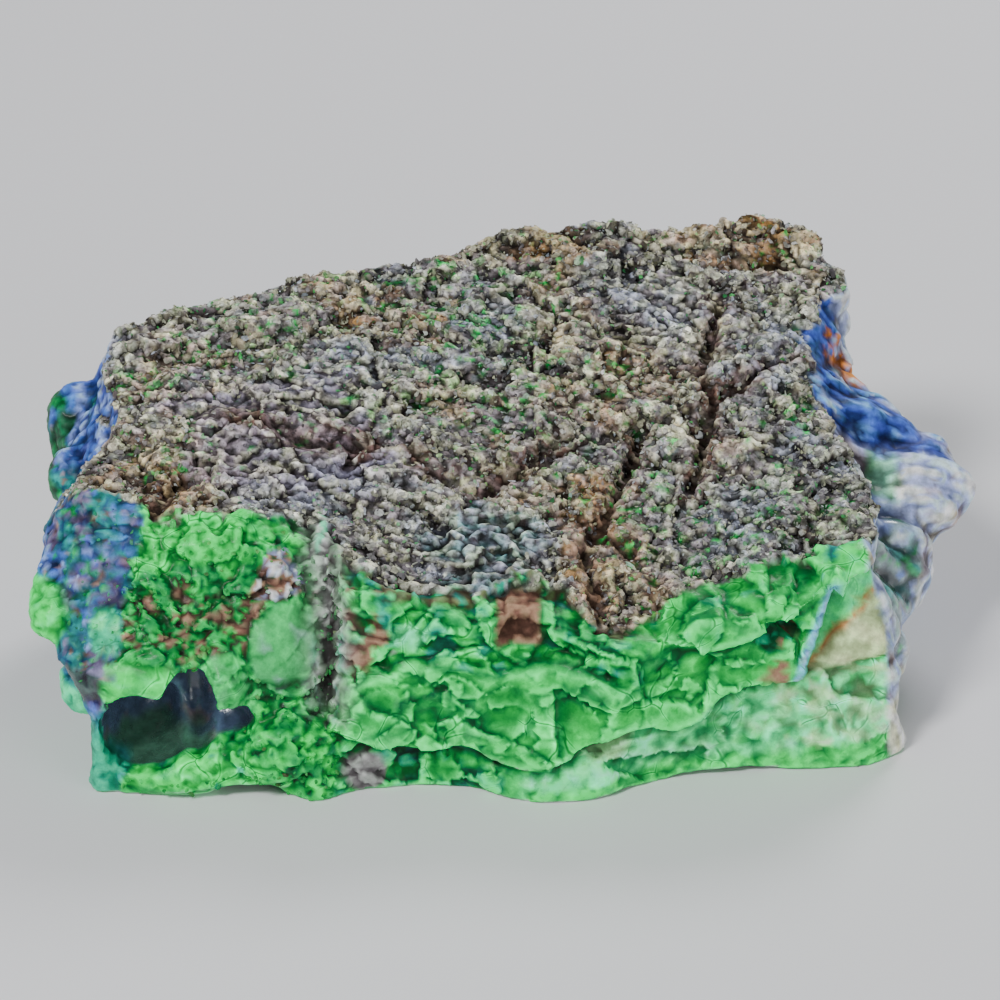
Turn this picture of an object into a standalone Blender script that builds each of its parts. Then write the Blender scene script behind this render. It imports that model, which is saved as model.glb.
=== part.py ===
"""A rough block of chalcedony under a weathered crust, modelled as the one solid stone that it is.

Run it with  blender --background --python part.py  or from Blender's text editor.

X runs to the right along the broken front face, Y away from it and Z up from the surface that the stone
stands on. The shape is one formula, stone(x, y, z), which is below zero inside the stone and above zero
outside it. Its walls are named tables of real sizes; lumps, chips, cracks and ledges are added to them,
and a net of faces is then drawn where the formula is zero. Lengths are in millimetres, and MM turns them
into Blender's metres.
"""

from itertools import product

import bpy
import numpy as np

MM = 0.001

# Driving dimensions of the block
BOX_LOW = (-70.0, -51.0, -2.4)
BOX_HIGH = (72.0, 44.0, 53.0)
BOX_CENTRE = (1.0, -4.0)
NET_STEP = 1.2
TRIANGLES = 9400
FLAT_WITHIN = 0.12
PINCH_FILL = 0.2
# Places that a line is averaged over to round its corners
CORNER_SHIFTS = (-1.6, -0.8, 0.0, 0.8, 1.6)
# Most that the underside rises off the surface between the patches that it rests on
UNDERSIDE_RISE = 3.2

# Crust: its height at these places, left to right and front to back
CRUST_X = (-58.0, -30.0, -5.0, 20.0, 50.0)
CRUST_Y = (-46.0, -40.0, -15.0, 10.0, 38.0)
CRUST_Z = (
    (34.4, 30.0, 23.2, 20.4, 24.4),
    (35.0, 31.0, 25.0, 22.5, 26.0),
    (37.0, 36.0, 32.0, 31.0, 32.5),
    (40.0, 41.0, 40.0, 40.0, 39.5),
    (42.5, 45.5, 47.5, 48.2, 46.0),
)

# Front face: where it stands on the surface and where it meets the crust, as (x, y)
FRONT_FOOT = (
    (-60, -35), (-54, -42.2), (-45, -43.4), (-39, -42), (-34, -39.5), (-29, -43), (-23.5, -46), (-18, -42.2),
    (-10, -40.6), (-2.5, -41.6), (5, -45.8), (11, -44.2), (21, -40.4), (32, -37.8), (45, -37), (51, -36), (56, -31),
)
FRONT_RIM = (
    (-60, -21), (-52, -25), (-44, -29.5), (-31, -29.5), (-24.5, -29), (-21, -36), (-15.5, -38.8), (-7.7, -37.4),
    (-2.6, -38.2), (0, -36.2), (7.8, -33.7), (12.3, -38.3), (14.5, -41), (19.4, -38.4), (24.7, -34.9),
    (31, -33.9), (39, -29.8), (47, -26.8), (55, -24),
)
# How far the left block swells forward over its foot, as (x, swell), and the share of it at each height
LEFT_SWELL = ((-60, 7), (-54, 7.5), (-45, 5.6), (-39, 6.2), (-34, 6), (-29, 3.2), (-24, 0.6), (-22, 0), (60, 0))
SWELL_HEIGHTS = ((0, 0), (4, 0.25), (11, 0.85), (16, 1), (24, 0.6), (33, 0))

# Green plate over the pale core: its lower edge and its thickness, as (x, z) and (x, thickness)
PLATE_EDGE = (
    (-23, 9.5), (-17, 7.5), (-10, 6), (-5, 6.6), (-1, 5.2), (2, 4.4), (6, 4.6), (10, 6.6), (14, 9), (19, 10.4),
    (22.5, 8), (26, 9.5), (28.5, 12), (34, 13.2), (38.5, 13.6), (60, 14),
)
PLATE_THICK = ((-23, 1.6), (-10, 2.2), (6, 2.6), (24, 2.6), (38, 3.4), (60, 3.4))
FIN = (38.6, 13.0, 0.42)
# Upper edge of the smooth bright zone: the layered band above it is set back
BAND_EDGE = ((-23, 14), (-17, 17), (-11, 19.5), (-7, 18), (-3, 17.4), (4, 18), (9, 19), (14, 16.5), (22, 15.5), (60, 15))
BAND_SET_BACK = 1.3
# Wedge under the crust at the right: its lower edge and how far it stands out
WEDGE_EDGE = ((17, 24), (22, 20.5), (29, 19.6), (38, 22.8), (47, 26.6), (60, 30))
WEDGE_OUT = ((14, 0), (23, 1.1), (38, 1.8), (60, 1.8))

# Back face: where it meets the crust, and how far it stands out at each height
BACK_RIM = (
    (-64, 10), (-54, 15.5), (-45, 19.5), (-37, 22.5), (-28, 25.5), (-20, 28.5), (-8.5, 31), (-3, 33), (3, 36), (14, 36),
    (29, 37), (40, 37.8), (44, 36), (50, 32), (60, 22),
)
BACK_OUT = ((0, -3.2), (6, 0.6), (17, 2.6), (27, 0.6), (36, 1.4), (44, 0.2), (52, -1))

# Left end: how far it reaches at each height, and how that changes from front to back
LEFT_REACH = (
    (0, -53), (3, -52.4), (6, -51.6), (10.5, -52.8), (14, -55.6), (18, -58.4), (22.5, -60.4), (27, -60.6), (31, -58.6),
    (35, -55.6), (39, -53.6), (52, -49),
)
LEFT_ALONG = (
    (-44, 0.8), (-36, 0.2), (-29, -0.2), (-18, -0.2), (-8, 2.4), (-3, 1.4), (5, -0.8), (14, -1.2), (20, 0.6), (26, 5),
    (34, 12),
)

# Right end, front to back: its reach at the crust, at the shoulder (with the shoulder's height) and at the foot
RIGHT_Y = (-40, -34, -26, -18, -8, 2, 10, 20, 30, 40)
RIGHT_RIM = (49.8, 49.8, 49.8, 49.2, 47.2, 41.6, 41.0, 44.0, 47.6, 45.0)
RIGHT_SHOULDER = (52.4, 52.8, 52.6, 52.6, 54.0, 58.5, 58.0, 51.6, 49.6, 47.0)
SHOULDER_HEIGHT = (18, 18, 17, 17, 20, 22, 25, 31.5, 37, 41)
RIGHT_FOOT = (53.2, 53.8, 53.2, 51.0, 50.5, 52.0, 52.0, 50.0, 48.0, 45.0)
SHOULDER_UNDERCUT = 7.0

# Rounded lumps that stand out of the walls: centre, radii
LUMPS = {
    "knob": ((57.2, 3.0, 22.0), (8.2, 9.6, 6.4)),
    "knob_shoulder": ((49.6, 9.0, 25.0), (7.0, 9.0, 7.0)),
    "knob_root": ((54.0, -5.5, 14.5), (6.0, 9.5, 8.5)),
    "corner_rib": ((52.0, -17.5, 8.0), (2.6, 6.0, 8.0)),
    "right_back_lump": ((47.2, 28.0, 40.4), (3.2, 4.2, 3.4)),
    "left_chip": ((-59.2, -29.5, 20.6), (3.4, 5.5, 4.2)),
    "left_window_back": ((-59.8, 11.5, 27.5), (4.4, 5.2, 6.0)),
    "left_window_front": ((-60.0, -0.8, 25.6), (3.4, 4.2, 4.4)),
    "lower_left_chip": ((-55.2, -32.5, 10.2), (2.8, 5.0, 3.0)),
    "hollow_sill": ((-40.0, -41.6, 3.2), (9.0, 3.2, 3.6)),
    "left_post": ((-52.3, -40.0, 5.0), (2.2, 3.6, 8.5)),
    "low_ledge": ((-28.0, -42.0, 5.5), (7.0, 3.4, 4.2)),
    "front_toe": ((7.0, -42.6, 1.8), (9.0, 2.8, 3.4)),
    "nose": ((9.6, -36.0, 23.6), (3.8, 3.4, 3.2)),
}

# How softly a lump meets the wall, as a share of its smallest radius
LUMP_BLEND = 0.55

# Bites out of the walls: centre, radii
BITES = {
    "hollow": ((-46.6, -43.0, 9.2), (5.6, 12.5, 5.6)),
    "hollow_top": ((-40.6, -42.0, 12.2), (3.8, 9.5, 6.4)),
    "hollow_tip": ((-36.8, -43.0, 10.2), (4.4, 7.0, 2.6)),
    "left_notch": ((-58.8, -35.5, 14.2), (5.6, 6.5, 2.2)),
    "right_recess": ((56.0, -19.5, 19.5), (3.0, 6.0, 6.6)),
    "right_recess_top": ((50.8, 1.5, 38.6), (5.0, 4.6, 3.6)),
    "behind_block": ((45.6, 0.6, 37.4), (5.8, 3.6, 3.0)),
    "right_pale_face": ((49.5, -37.6, 21.0), (8.0, 6.0, 9.0)),
    "foot_arch_left": ((-33.6, -42.5, -0.6), (4.6, 9.0, 2.6)),
    "foot_arch_right": ((30.0, -37.0, -1.9), (11.0, 7.0, 2.7)),
    "foot_arch_back": ((-12.0, 33.0, -1.0), (13.0, 9.0, 4.6)),
    "foot_arch_end": ((53.0, 8.0, -1.0), (8.0, 12.0, 4.5)),
}

# Shell-shaped scars on the front face: centre (x, z), radii, depth (below zero stands out)
SCARS = {
    "lip": ((-46.8, 19.6), (7.6, 5.4), -1.5),
    "plate_over_hollow": ((-35.9, 15.4), (4.0, 5.2), -1.9),
    "panel": ((-28.4, 20.2), (4.9, 6.4), -1.4),
    "panel_low": ((-28.0, 13.2), (4.4, 2.6), 0.8),
    "dish": ((1.2, 12.0), (4.6, 4.6), 1.2),
    "dish_left": ((-10.4, 10.2), (6.2, 3.4), 1.0),
    "dish_far_left": ((-18.6, 12.4), (4.4, 3.2), 0.8),
    "dish_right": ((9.8, 12.4), (5.2, 3.4), 0.9),
    "dish_small": ((-6.0, 15.0), (3.6, 2.4), 0.8),
    "dish_low": ((4.4, 6.8), (4.6, 2.4), 0.7),
    "chip_square": ((14.4, 13.6), (1.4, 1.8), -0.7),
    "green_face": ((31.4, 17.2), (5.6, 3.6), 0.9),
    "green_face_low": ((25.6, 13.2), (4.4, 3.0), 0.8),
    "brown_step": ((2.6, 22.4), (2.6, 2.4), 0.9),
    "under_wedge": ((36.6, 20.4), (4.4, 2.0), 1.6),
    "pale_upper": ((43.2, 19.8), (3.6, 5.4), 1.1),
    "pale_lower": ((47.6, 9.2), (5.4, 6.6), 0.6),
    "pale_middle": ((27.0, 5.6), (8.0, 3.8), 0.7),
}

# The same on the back face
BACK_SCARS = {
    "large": ((14.0, 24.0), (17.0, 12.5), 4.2),
    "large_low": ((2.0, 10.0), (11.0, 8.0), 2.8),
    "left": ((-33.0, 25.0), (14.0, 10.0), 3.6),
    "left_low": ((-45.0, 11.0), (10.0, 8.0), 2.6),
    "right": ((39.0, 16.0), (11.0, 10.0), 3.8),
    "right_high": ((40.0, 33.0), (8.0, 6.5), 2.2),
    "nub": ((-12.0, 22.0), (7.0, 9.0), -2.2),
    "nub_right": ((27.0, 8.0), (6.5, 6.0), -2.0),
}
# Layer under the crust on the back: its lower edge as (x, z) and how far it stands out
BACK_LAYER_EDGE = ((-60, 31), (-38, 34), (-20, 33), (-4, 38), (16, 39.5), (30, 37.5), (60, 41))
BACK_LAYER_OUT = 1.8

# The same on the left and the right end: centre (y, z), radii, depth
LEFT_SCARS = {
    "front": ((-17.0, 19.0), (8.0, 9.0), 1.6),
    "groove": ((-7.5, 24.0), (3.0, 9.0), 1.6),
    "low": ((-14.0, 7.0), (9.0, 6.0), 2.2),
    "back": ((6.0, 11.0), (8.0, 7.0), 3.4),
}
RIGHT_SCARS = {
    "recess": ((-20.0, 18.5), (5.5, 7.0), 1.6),
    "back": ((27.0, 19.0), (10.0, 10.0), 4.0),
    "back_high": ((16.0, 34.0), (6.0, 7.0), 1.4),
    "low": ((12.0, 8.0), (10.0, 6.0), 2.4),
    "front_low": ((-28.0, 10.0), (5.0, 8.0), 0.8),
}
# Waxy folds that run down the right end: how far apart, how high
FOLD_GAP = 6.4
FOLD_HIGH = 0.55

# Seam down the front between the left block and the rest, as (z, x), and its half width and depth
SEAM = ((6, -21.6), (14, -22.4), (20, -21.8), (26, -22.6), (34, -23.4))
SEAM_HALF_WIDTH = 1.5
SEAM_DEPTH = 2.0

# Cracks in the crust: their route as (x, y), half width and depth
CRACKS = (
    (((31, 20), (29, 11), (28, 7), (29.5, 2), (28, -4), (27, -9), (25, -14)), 1.5, 2.4),
    (((29.5, 2), (34, 5), (38, 9), (42, 11)), 1.3, 2.0),
    (((19, -4), (17, -11), (15, -16), (13, -21), (11, -26), (12, -31), (13, -38)), 2.0, 2.2),
    (((13, -21), (17, -25), (20, -31)), 1.5, 1.2),
    (((-46, -28), (-44, -23), (-42, -19)), 2.2, 1.6),
    (((-12, -11), (-7, -13), (-3, -15), (2, -11.5), (8, -7)), 1.2, 1.1),
    (((-36, -6), (-26, -10), (-17, -9)), 1.3, 0.8),
)
CRACK_FILL = 0.55
# Steps down towards the front: their route as (x, y) and their height
CRUST_STEPS = (
    (((-60, 13), (-51, 6), (-35, 11), (-22, 18), (-8, 26), (-3, 28), (12, 27), (24, 30), (60, 33)), 1.1),
    (((-60, -10), (-40, -14), (-20, -8), (-7, -13), (2, -11), (9, -6), (20, -3), (28, 1), (60, 8)), 1.2),
)


def through(points, at):
    """Follows a line through points given as (where, value), with its corners rounded."""
    where, value = zip(*points)
    return sum(np.interp(at + shift, where, value) for shift in CORNER_SHIFTS) / len(CORNER_SHIFTS)


def eased(t):
    """0 below 0, 1 above 1 and a smooth rise between them."""
    t = np.clip(t, 0.0, 1.0)
    return t * t * (3.0 - 2.0 * t)


def soft_max(a, b, blend):
    """The larger of two fields, with their meeting edge rounded over blend."""
    near = np.clip(blend - np.abs(a - b), 0.0, None)
    return np.maximum(a, b) + near * near / (4.0 * blend)


def corner_number(ix, iy, iz, seed):
    """A repeatable number from -1 to 1 for each corner of a unit lattice."""
    key = (ix * 374761393 + iy * 668265263 + iz * 974634777 + seed * 362437) & 0xFFFFFFFF
    key = ((key ^ (key >> 13)) * 1274126177) & 0xFFFFFFFF
    key = ((key ^ (key >> 16)) * 668265263) & 0xFFFFFFFF
    return (key ^ (key >> 15)) / 0x7FFFFFFF - 1.0


def lumpy(x, y, z, size, seed):
    """Smooth noise from -1 to 1, with lumps about size across."""
    scaled = [np.asarray(axis) / size for axis in np.broadcast_arrays(x, y, z)]
    floor = [np.floor(axis).astype(np.int64) for axis in scaled]
    part = [axis - low for axis, low in zip(scaled, floor)]
    part = [t * t * (3.0 - 2.0 * t) for t in part]
    total = 0.0
    for corner in product((0, 1), repeat=3):
        share = 1.0
        for step, t in zip(corner, part):
            share = share * (t if step else 1.0 - t)
        total = total + share * corner_number(*(low + step for low, step in zip(floor, corner)), seed)
    return total


def scallops(x, y, z, size, seed):
    """Squared distance to the nearest of scattered points about size apart: bowls that meet in ridges."""
    scaled = [np.asarray(axis) / size for axis in np.broadcast_arrays(x, y, z)]
    floor = [np.floor(axis).astype(np.int64) for axis in scaled]
    nearest = np.full(scaled[0].shape, 9.0)
    for corner in product((-1, 0, 1), repeat=3):
        home = [low + step for low, step in zip(floor, corner)]
        gap = 0.0
        for axis in range(3):
            point = home[axis] + 0.5 + 0.42 * corner_number(*home, seed + axis)
            gap = gap + (scaled[axis] - point) ** 2
        nearest = np.minimum(nearest, gap)
    return nearest


def ellipsoid(x, y, z, centre, radii):
    """Roughly the distance outside an ellipsoid, and below zero inside it."""
    away = np.sqrt(sum(((axis - c) / r) ** 2 for axis, c, r in zip((x, y, z), centre, radii)))
    return (away - 1.0) * min(radii)


def gap_to_route(x, y, route):
    """Distance from a line of straight runs on the crust."""
    nearest = np.full(np.shape(x), 1e3)
    for (ax, ay), (bx, by) in zip(route, route[1:]):
        dx, dy = bx - ax, by - ay
        along = np.clip(((x - ax) * dx + (y - ay) * dy) / (dx * dx + dy * dy), 0.0, 1.0)
        nearest = np.minimum(nearest, np.hypot(x - ax - along * dx, y - ay - along * dy))
    return nearest


def crust_table(x, y):
    """Height of the crust without its lumps, from the CRUST table."""
    rows = [np.interp(x, CRUST_X, row) for row in CRUST_Z]
    height = rows[-1] + 0.0 * y
    for near, far, low, high in zip(CRUST_Y, CRUST_Y[1:], rows, rows[1:]):
        share = np.clip((y - near) / (far - near), 0.0, 1.0)
        height = np.where(y < far, np.where(y >= near, low + (high - low) * share, height), height)
    return np.where(y < CRUST_Y[0], rows[0], height)


def crust_top(x, y):
    """Height of the weathered crust: steps, cracks and lumps on the table's slope."""
    wander = 1.6 * lumpy(x, y, 0.0, 9.0, 11)
    height = crust_table(x, y)
    for route, drop in CRUST_STEPS:
        line = through(route, x)
        height = height + drop * (eased((y + wander - line) / 1.8 + 0.5) - 0.5)
    for route, half_width, depth in CRACKS:
        gap = gap_to_route(x + 0.6 * wander, y, route) / half_width
        open_share = 1.0 - CRACK_FILL * (0.5 + 0.5 * lumpy(x, y, 0.0, 4.5, 15))
        height = height - depth * open_share * np.exp(-gap * gap * 1.3)
    height = height + 0.8 * lumpy(x, y, 0.0, 13.0, 12)
    height = height + 0.45 * lumpy(x, 1.5 * y, 0.0, 5.2, 13)
    return height - 1.5 * (scallops(x, 1.4 * y, 0.0, 7.0, 14) - 0.3)


def front_wall(x, z):
    """How far forward (low y) the broken front face lies."""
    foot = through(FRONT_FOOT, x)
    rim = through(FRONT_RIM, x)
    wall = foot + (rim - foot) * z / crust_table(x, rim)
    wall = wall - through(LEFT_SWELL, x) * through(SWELL_HEIGHTS, z)

    wander = 0.7 * lumpy(x, 0.0, z, 5.0, 21)
    right_of_seam = eased((x + 22.5) / 1.5)
    left_of_fin = eased((FIN[0] + FIN[2] * (z - FIN[1]) - x) / 0.8 + 0.5)
    over_plate_edge = eased((z + wander - through(PLATE_EDGE, x)) / 0.9 + 0.5)
    wall = wall - through(PLATE_THICK, x) * over_plate_edge * left_of_fin * right_of_seam
    over_band_edge = eased((z + wander - through(BAND_EDGE, x)) / 1.2 + 0.5)
    short_of_wedge = eased((19.0 - x) / 5.0)
    wall = wall + BAND_SET_BACK * over_band_edge * right_of_seam * short_of_wedge
    over_wedge_edge = eased((z + 0.4 * wander - through(WEDGE_EDGE, x)) / 0.8 + 0.5)
    behind_fin = through(PLATE_THICK, x) * (1.0 - left_of_fin)
    wall = wall - (through(WEDGE_OUT, x) + behind_fin) * over_wedge_edge * eased((x - 15.0) / 6.0)

    wall = scarred(wall, x, z, SCARS)
    seam_gap = (x - np.interp(z, *zip(*SEAM))) / SEAM_HALF_WIDTH
    return wall + SEAM_DEPTH * np.exp(-seam_gap * seam_gap) * eased((z - 8.0) / 5.0)


def scarred(wall, x, z, scars):
    """Sinks each scar's shallow bowl into a wall, or raises it where its depth is below zero."""
    for (cx, cz), (rx, rz), depth in scars.values():
        inside = 1.0 - ((x - cx) / rx) ** 2 - ((z - cz) / rz) ** 2
        wall = wall + depth * np.clip(inside, 0.0, None)
    return wall


def back_wall(x, z):
    """How far back (high y) the rough back face lies."""
    wander = 1.5 * lumpy(x, 40.0, z, 7.0, 32)
    wall = through(BACK_RIM, x) + through(BACK_OUT, z) + 1.5 * lumpy(x, 40.0, z, 15.0, 31)
    wall = wall - BACK_LAYER_OUT * eased((through(BACK_LAYER_EDGE, x) - z - wander) / 1.4 + 0.5)
    return -scarred(-wall, x, z, BACK_SCARS)


def underside(x, y):
    """Height of the underside: on the surface in patches, and along the front foot."""
    rise = 0.75 * lumpy(x, y, 0.0, 17.0, 61) + 0.35 * lumpy(x, y, 0.0, 7.0, 62) + 0.08
    return UNDERSIDE_RISE * np.clip(rise, 0.0, None) * eased((y + 34.0) / 10.0)


def left_end(y, z):
    """How far left (low x) the stone reaches."""
    return scarred(through(LEFT_REACH, z) + through(LEFT_ALONG, y), y, z, LEFT_SCARS)


def right_end(y, z):
    """How far right (high x) the stone reaches, before the knob is added."""
    rim = np.interp(y, RIGHT_Y, RIGHT_RIM)
    shoulder = np.interp(y, RIGHT_Y, RIGHT_SHOULDER)
    height = np.interp(y, RIGHT_Y, SHOULDER_HEIGHT)
    foot = np.interp(y, RIGHT_Y, RIGHT_FOOT)
    rim_height = crust_table(rim, y)
    above = shoulder + (rim - shoulder) * (z - height) / (rim_height - height)
    below = foot + (shoulder - foot) * np.clip((z - height + SHOULDER_UNDERCUT) / SHOULDER_UNDERCUT, 0.0, 1.0)
    return -scarred(-np.where(z > height, above, below), y, z, RIGHT_SCARS)


def waxy_folds(x, y, z):
    """Height of the folds that run down the right end."""
    along = y + 0.5 * z + 3.0 * lumpy(0.0, y, z, 11.0, 71)
    return FOLD_HIGH * np.sin(2.0 * np.pi * along / FOLD_GAP) * eased((x - 46.0) / 5.0)


def stone(x, y, z):
    """The whole stone: below zero inside, above zero outside."""
    drift_x = 1.0 * lumpy(x, y, z, 8.0, 41) + 0.4 * lumpy(x, y, z, 3.6, 43)
    drift_z = 1.0 * lumpy(x, y, z, 8.0, 42) + 0.4 * lumpy(x, y, z, 3.6, 44)
    x, z_soft = x + drift_x, z + drift_z * eased(z / 5.0)

    bowls = 2.6 * (scallops(x, 0.8 * y, 1.15 * z_soft, 11.0, 51) - 0.33)
    flakes = 1.1 * (scallops(x, 0.8 * y, 1.4 * z_soft, 5.0, 52) - 0.33)
    calm = np.exp(-(((x + 28.5) / 5.0) ** 2 + ((z_soft - 19.0) / 7.0) ** 2))
    broken = (0.55 * bowls + 0.75 * flakes) * (1.0 - 0.8 * calm)
    pale_low = eased((x - 6.0) / 6.0) * eased((14.0 - z_soft) / 4.0) * eased((-20.0 - y) / 5.0)
    front = front_wall(x, z_soft) - y - broken * (0.75 - 0.4 * pale_low)

    back = y - back_wall(x, z_soft) - 1.5 * broken
    left = left_end(y, z_soft) - x - 1.2 * broken
    right = x - right_end(y, z_soft) - 0.8 * broken
    body = soft_max(front, back, 2.0)
    body = soft_max(body, 0.8 * left, 2.4)
    body = soft_max(body, 0.8 * right, 2.4)
    for centre, radii in LUMPS.values():
        lump = -ellipsoid(x, y, z_soft, centre, radii) - 0.5 * broken
        body = -soft_max(-body, lump, LUMP_BLEND * min(radii))
    body = body - waxy_folds(x, y, z_soft)
    for centre, radii in BITES.values():
        body = soft_max(body, -ellipsoid(x, y, z_soft, centre, radii), 0.7)
    top = 0.93 * (z - crust_top(x, y))
    body = soft_max(body, top, 1.3)
    return soft_max(body, underside(x, y) - z, 0.5)


def without_pinches(field):
    """Fills the places where two parts of the stone would touch along an edge or at a point only."""
    field = field.copy()
    pinched = True
    while pinched:
        pinched = False
        for span in ((1, 1, 0), (1, 0, 1), (0, 1, 1), (1, 1, 1)):
            spread = [s for s in product((0, 1), repeat=3) if all(a <= b for a, b in zip(s, span))]
            view = {
                s: field[tuple(slice(a, n - b + a) for a, b, n in zip(s, span, field.shape))] for s in spread
            }
            for start in spread[: len(spread) // 2]:
                end = tuple(b - a for a, b in zip(start, span))
                others = [view[s] for s in spread if s not in (start, end)]
                apart = (view[start] < 0) & (view[end] < 0) & np.all([o >= 0 for o in others], axis=0)
                if apart.any():
                    pinched = True
                    others[0][apart] = -PINCH_FILL
                ringed = (view[start] >= 0) & (view[end] >= 0) & np.all([o < 0 for o in others], axis=0)
                if ringed.any():
                    pinched = True
                    view[start][ringed] = -PINCH_FILL
    return field


def net_over(field, low, step):
    """Points and four-sided faces of the closed net where field, sampled on a grid, changes sign."""
    inside = field < 0
    cells = tuple(n - 1 for n in field.shape)
    corners = list(product((0, 1), repeat=3))

    def at(values, corner):
        return values[tuple(slice(c, c + n) for c, n in zip(corner, cells))]

    count = sum(at(inside, corner).astype(np.int8) for corner in corners)
    active = (count > 0) & (count < 8)
    number = np.full(cells, -1, np.int64)
    number[active] = np.arange(active.sum())
    place = np.argwhere(active).astype(float)
    total, hits = np.zeros_like(place), np.zeros(len(place))
    for start in corners:
        for axis in range(3):
            if start[axis]:
                continue
            end = tuple(c + (k == axis) for k, c in enumerate(start))
            f0, f1 = at(field, start)[active], at(field, end)[active]
            crossed = (f0 < 0) != (f1 < 0)
            share = f0[crossed] / (f0[crossed] - f1[crossed])
            point = np.tile(np.array(start, float), (crossed.sum(), 1))
            point[:, axis] = share
            total[crossed] += point
            hits[crossed] += 1
    points = (place + total / hits[:, None]) * step + np.array(low)

    faces = []
    for axis in range(3):
        side, other = (axis + 1) % 3, (axis + 2) % 3
        first = [slice(1, n) for n in cells]
        first[axis] = slice(0, cells[axis])
        second = list(first)
        second[axis] = slice(1, cells[axis] + 1)
        f0, f1 = inside[tuple(first)], inside[tuple(second)]
        crossing = np.argwhere(f0 != f1)
        leaving = f0[f0 != f1]
        home = crossing + 1
        home[:, axis] -= 1
        ring = []
        for ds, do in ((-1, -1), (0, -1), (0, 0), (-1, 0)):
            cell = home.copy()
            cell[:, side] += ds
            cell[:, other] += do
            ring.append(number[tuple(cell.T)])
        ring = np.stack(ring, axis=1)
        ring[~leaving] = ring[~leaving][:, ::-1]
        faces.append(ring)
    return points, np.concatenate(faces)


def stone_mesh():
    """The stone as a fine mesh in metres, its box centred over the origin and its foot on z = 0."""
    axes = [np.arange(low, high + NET_STEP, NET_STEP) for low, high in zip(BOX_LOW, BOX_HIGH)]
    field = without_pinches(stone(*np.meshgrid(*axes, indexing="ij")))
    points, faces = net_over(field, BOX_LOW, NET_STEP)
    points[:, 0] -= BOX_CENTRE[0]
    points[:, 1] -= BOX_CENTRE[1]
    mesh = bpy.data.meshes.new("chalcedony")
    mesh.from_pydata((points * MM).tolist(), [], faces.tolist())
    mesh.validate()
    return mesh


def stone_material():
    """Glassy green chalcedony, the stone's main colour."""
    material = bpy.data.materials.new("chalcedony")
    material.use_nodes = True
    shader = material.node_tree.nodes["Principled BSDF"]
    shader.inputs["Base Color"].default_value = (0.03, 0.55, 0.12, 1.0)
    shader.inputs["Roughness"].default_value = 0.35
    shader.inputs["Metallic"].default_value = 0.0
    return material


def build():
    """Clears the scene, adds the stone with fewer triangles and lays its foot flat on z = 0."""
    for old in list(bpy.data.objects):
        bpy.data.objects.remove(old)
    stone_object = bpy.data.objects.new("chalcedony", stone_mesh())
    bpy.context.scene.collection.objects.link(stone_object)
    stone_object.data.materials.append(stone_material())
    triangles = stone_object.modifiers.new("triangles", "TRIANGULATE")
    triangles.quad_method = "BEAUTY"
    fewer = stone_object.modifiers.new("fewer", "DECIMATE")
    fewer.ratio = TRIANGLES / (2 * len(stone_object.data.polygons))

    ready = stone_object.evaluated_get(bpy.context.evaluated_depsgraph_get())
    fine, coarse = stone_object.data, bpy.data.meshes.new_from_object(ready)
    for vertex in coarse.vertices:
        if vertex.co.z < FLAT_WITHIN * MM:
            vertex.co.z = 0.0
    stone_object.modifiers.clear()
    stone_object.data = coarse
    bpy.data.meshes.remove(fine)


build()
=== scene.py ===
"""Looks of a rough block of green chalcedony under a weathered crust.

The stone's fine surface follows the same named walls, lumps, scars and cracks as its solid, sampled more
finely and with small relief added. Zones of colour and lustre are worked out for each point of it, and
Geometry Nodes scatter the crust's grains, scales and flakes, its green specks and the left block's nodules
over it. Lengths in the stone's tables are in millimetres; MM turns them into metres.
"""

from __future__ import annotations

import logging
import math
from dataclasses import dataclass, field
from enum import Enum
from itertools import product

import bpy
import numpy as np
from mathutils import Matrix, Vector

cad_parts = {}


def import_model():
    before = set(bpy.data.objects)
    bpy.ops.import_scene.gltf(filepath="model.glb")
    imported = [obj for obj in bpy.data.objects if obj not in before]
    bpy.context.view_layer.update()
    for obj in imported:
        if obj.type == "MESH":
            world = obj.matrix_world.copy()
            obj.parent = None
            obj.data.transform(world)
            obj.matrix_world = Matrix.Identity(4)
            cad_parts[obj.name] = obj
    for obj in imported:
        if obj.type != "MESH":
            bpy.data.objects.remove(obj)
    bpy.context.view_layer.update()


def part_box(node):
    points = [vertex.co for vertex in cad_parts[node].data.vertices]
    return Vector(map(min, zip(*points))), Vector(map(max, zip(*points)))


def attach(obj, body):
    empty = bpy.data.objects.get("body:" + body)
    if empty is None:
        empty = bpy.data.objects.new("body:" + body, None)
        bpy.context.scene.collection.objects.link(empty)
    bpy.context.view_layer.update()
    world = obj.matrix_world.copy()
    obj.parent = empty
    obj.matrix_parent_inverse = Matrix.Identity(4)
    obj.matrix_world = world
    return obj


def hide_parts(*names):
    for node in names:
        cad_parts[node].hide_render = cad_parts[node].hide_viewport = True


MM = 0.001
NODE = "chalcedony"
BODY = "root"
LEAST_COVER = 0.25
Array = np.ndarray
Colour = tuple[float, float, float]
Point = tuple[float, float, float]
Line = tuple[tuple[float, float], ...]
Scars = dict[str, tuple[tuple[float, float], tuple[float, float], float]]
Lumps = dict[str, tuple[Point, Point]]

log = logging.getLogger("chalcedony")


def through(points: Line, at: Array) -> Array:
    """Follow a line through points, with its corners rounded.

    Args:
        points: pairs of place and value, in order of place.
        at: the places to read.

    Returns:
        The line's value at each place.
    """
    where, value = zip(*points)
    shifts = (-1.6, -0.8, 0.0, 0.8, 1.6)
    return sum(np.interp(at + shift, where, value) for shift in shifts) / len(shifts)


def eased(t: Array) -> Array:
    """Return 0 below 0, 1 above 1 and a smooth rise between them."""
    t = np.clip(t, 0.0, 1.0)
    return t * t * (3.0 - 2.0 * t)


def past(gap: Array, width: float) -> Array:
    """Return a soft step of a given width from 0 to 1 where gap rises through nought."""
    return eased(gap / width + 0.5)


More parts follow.
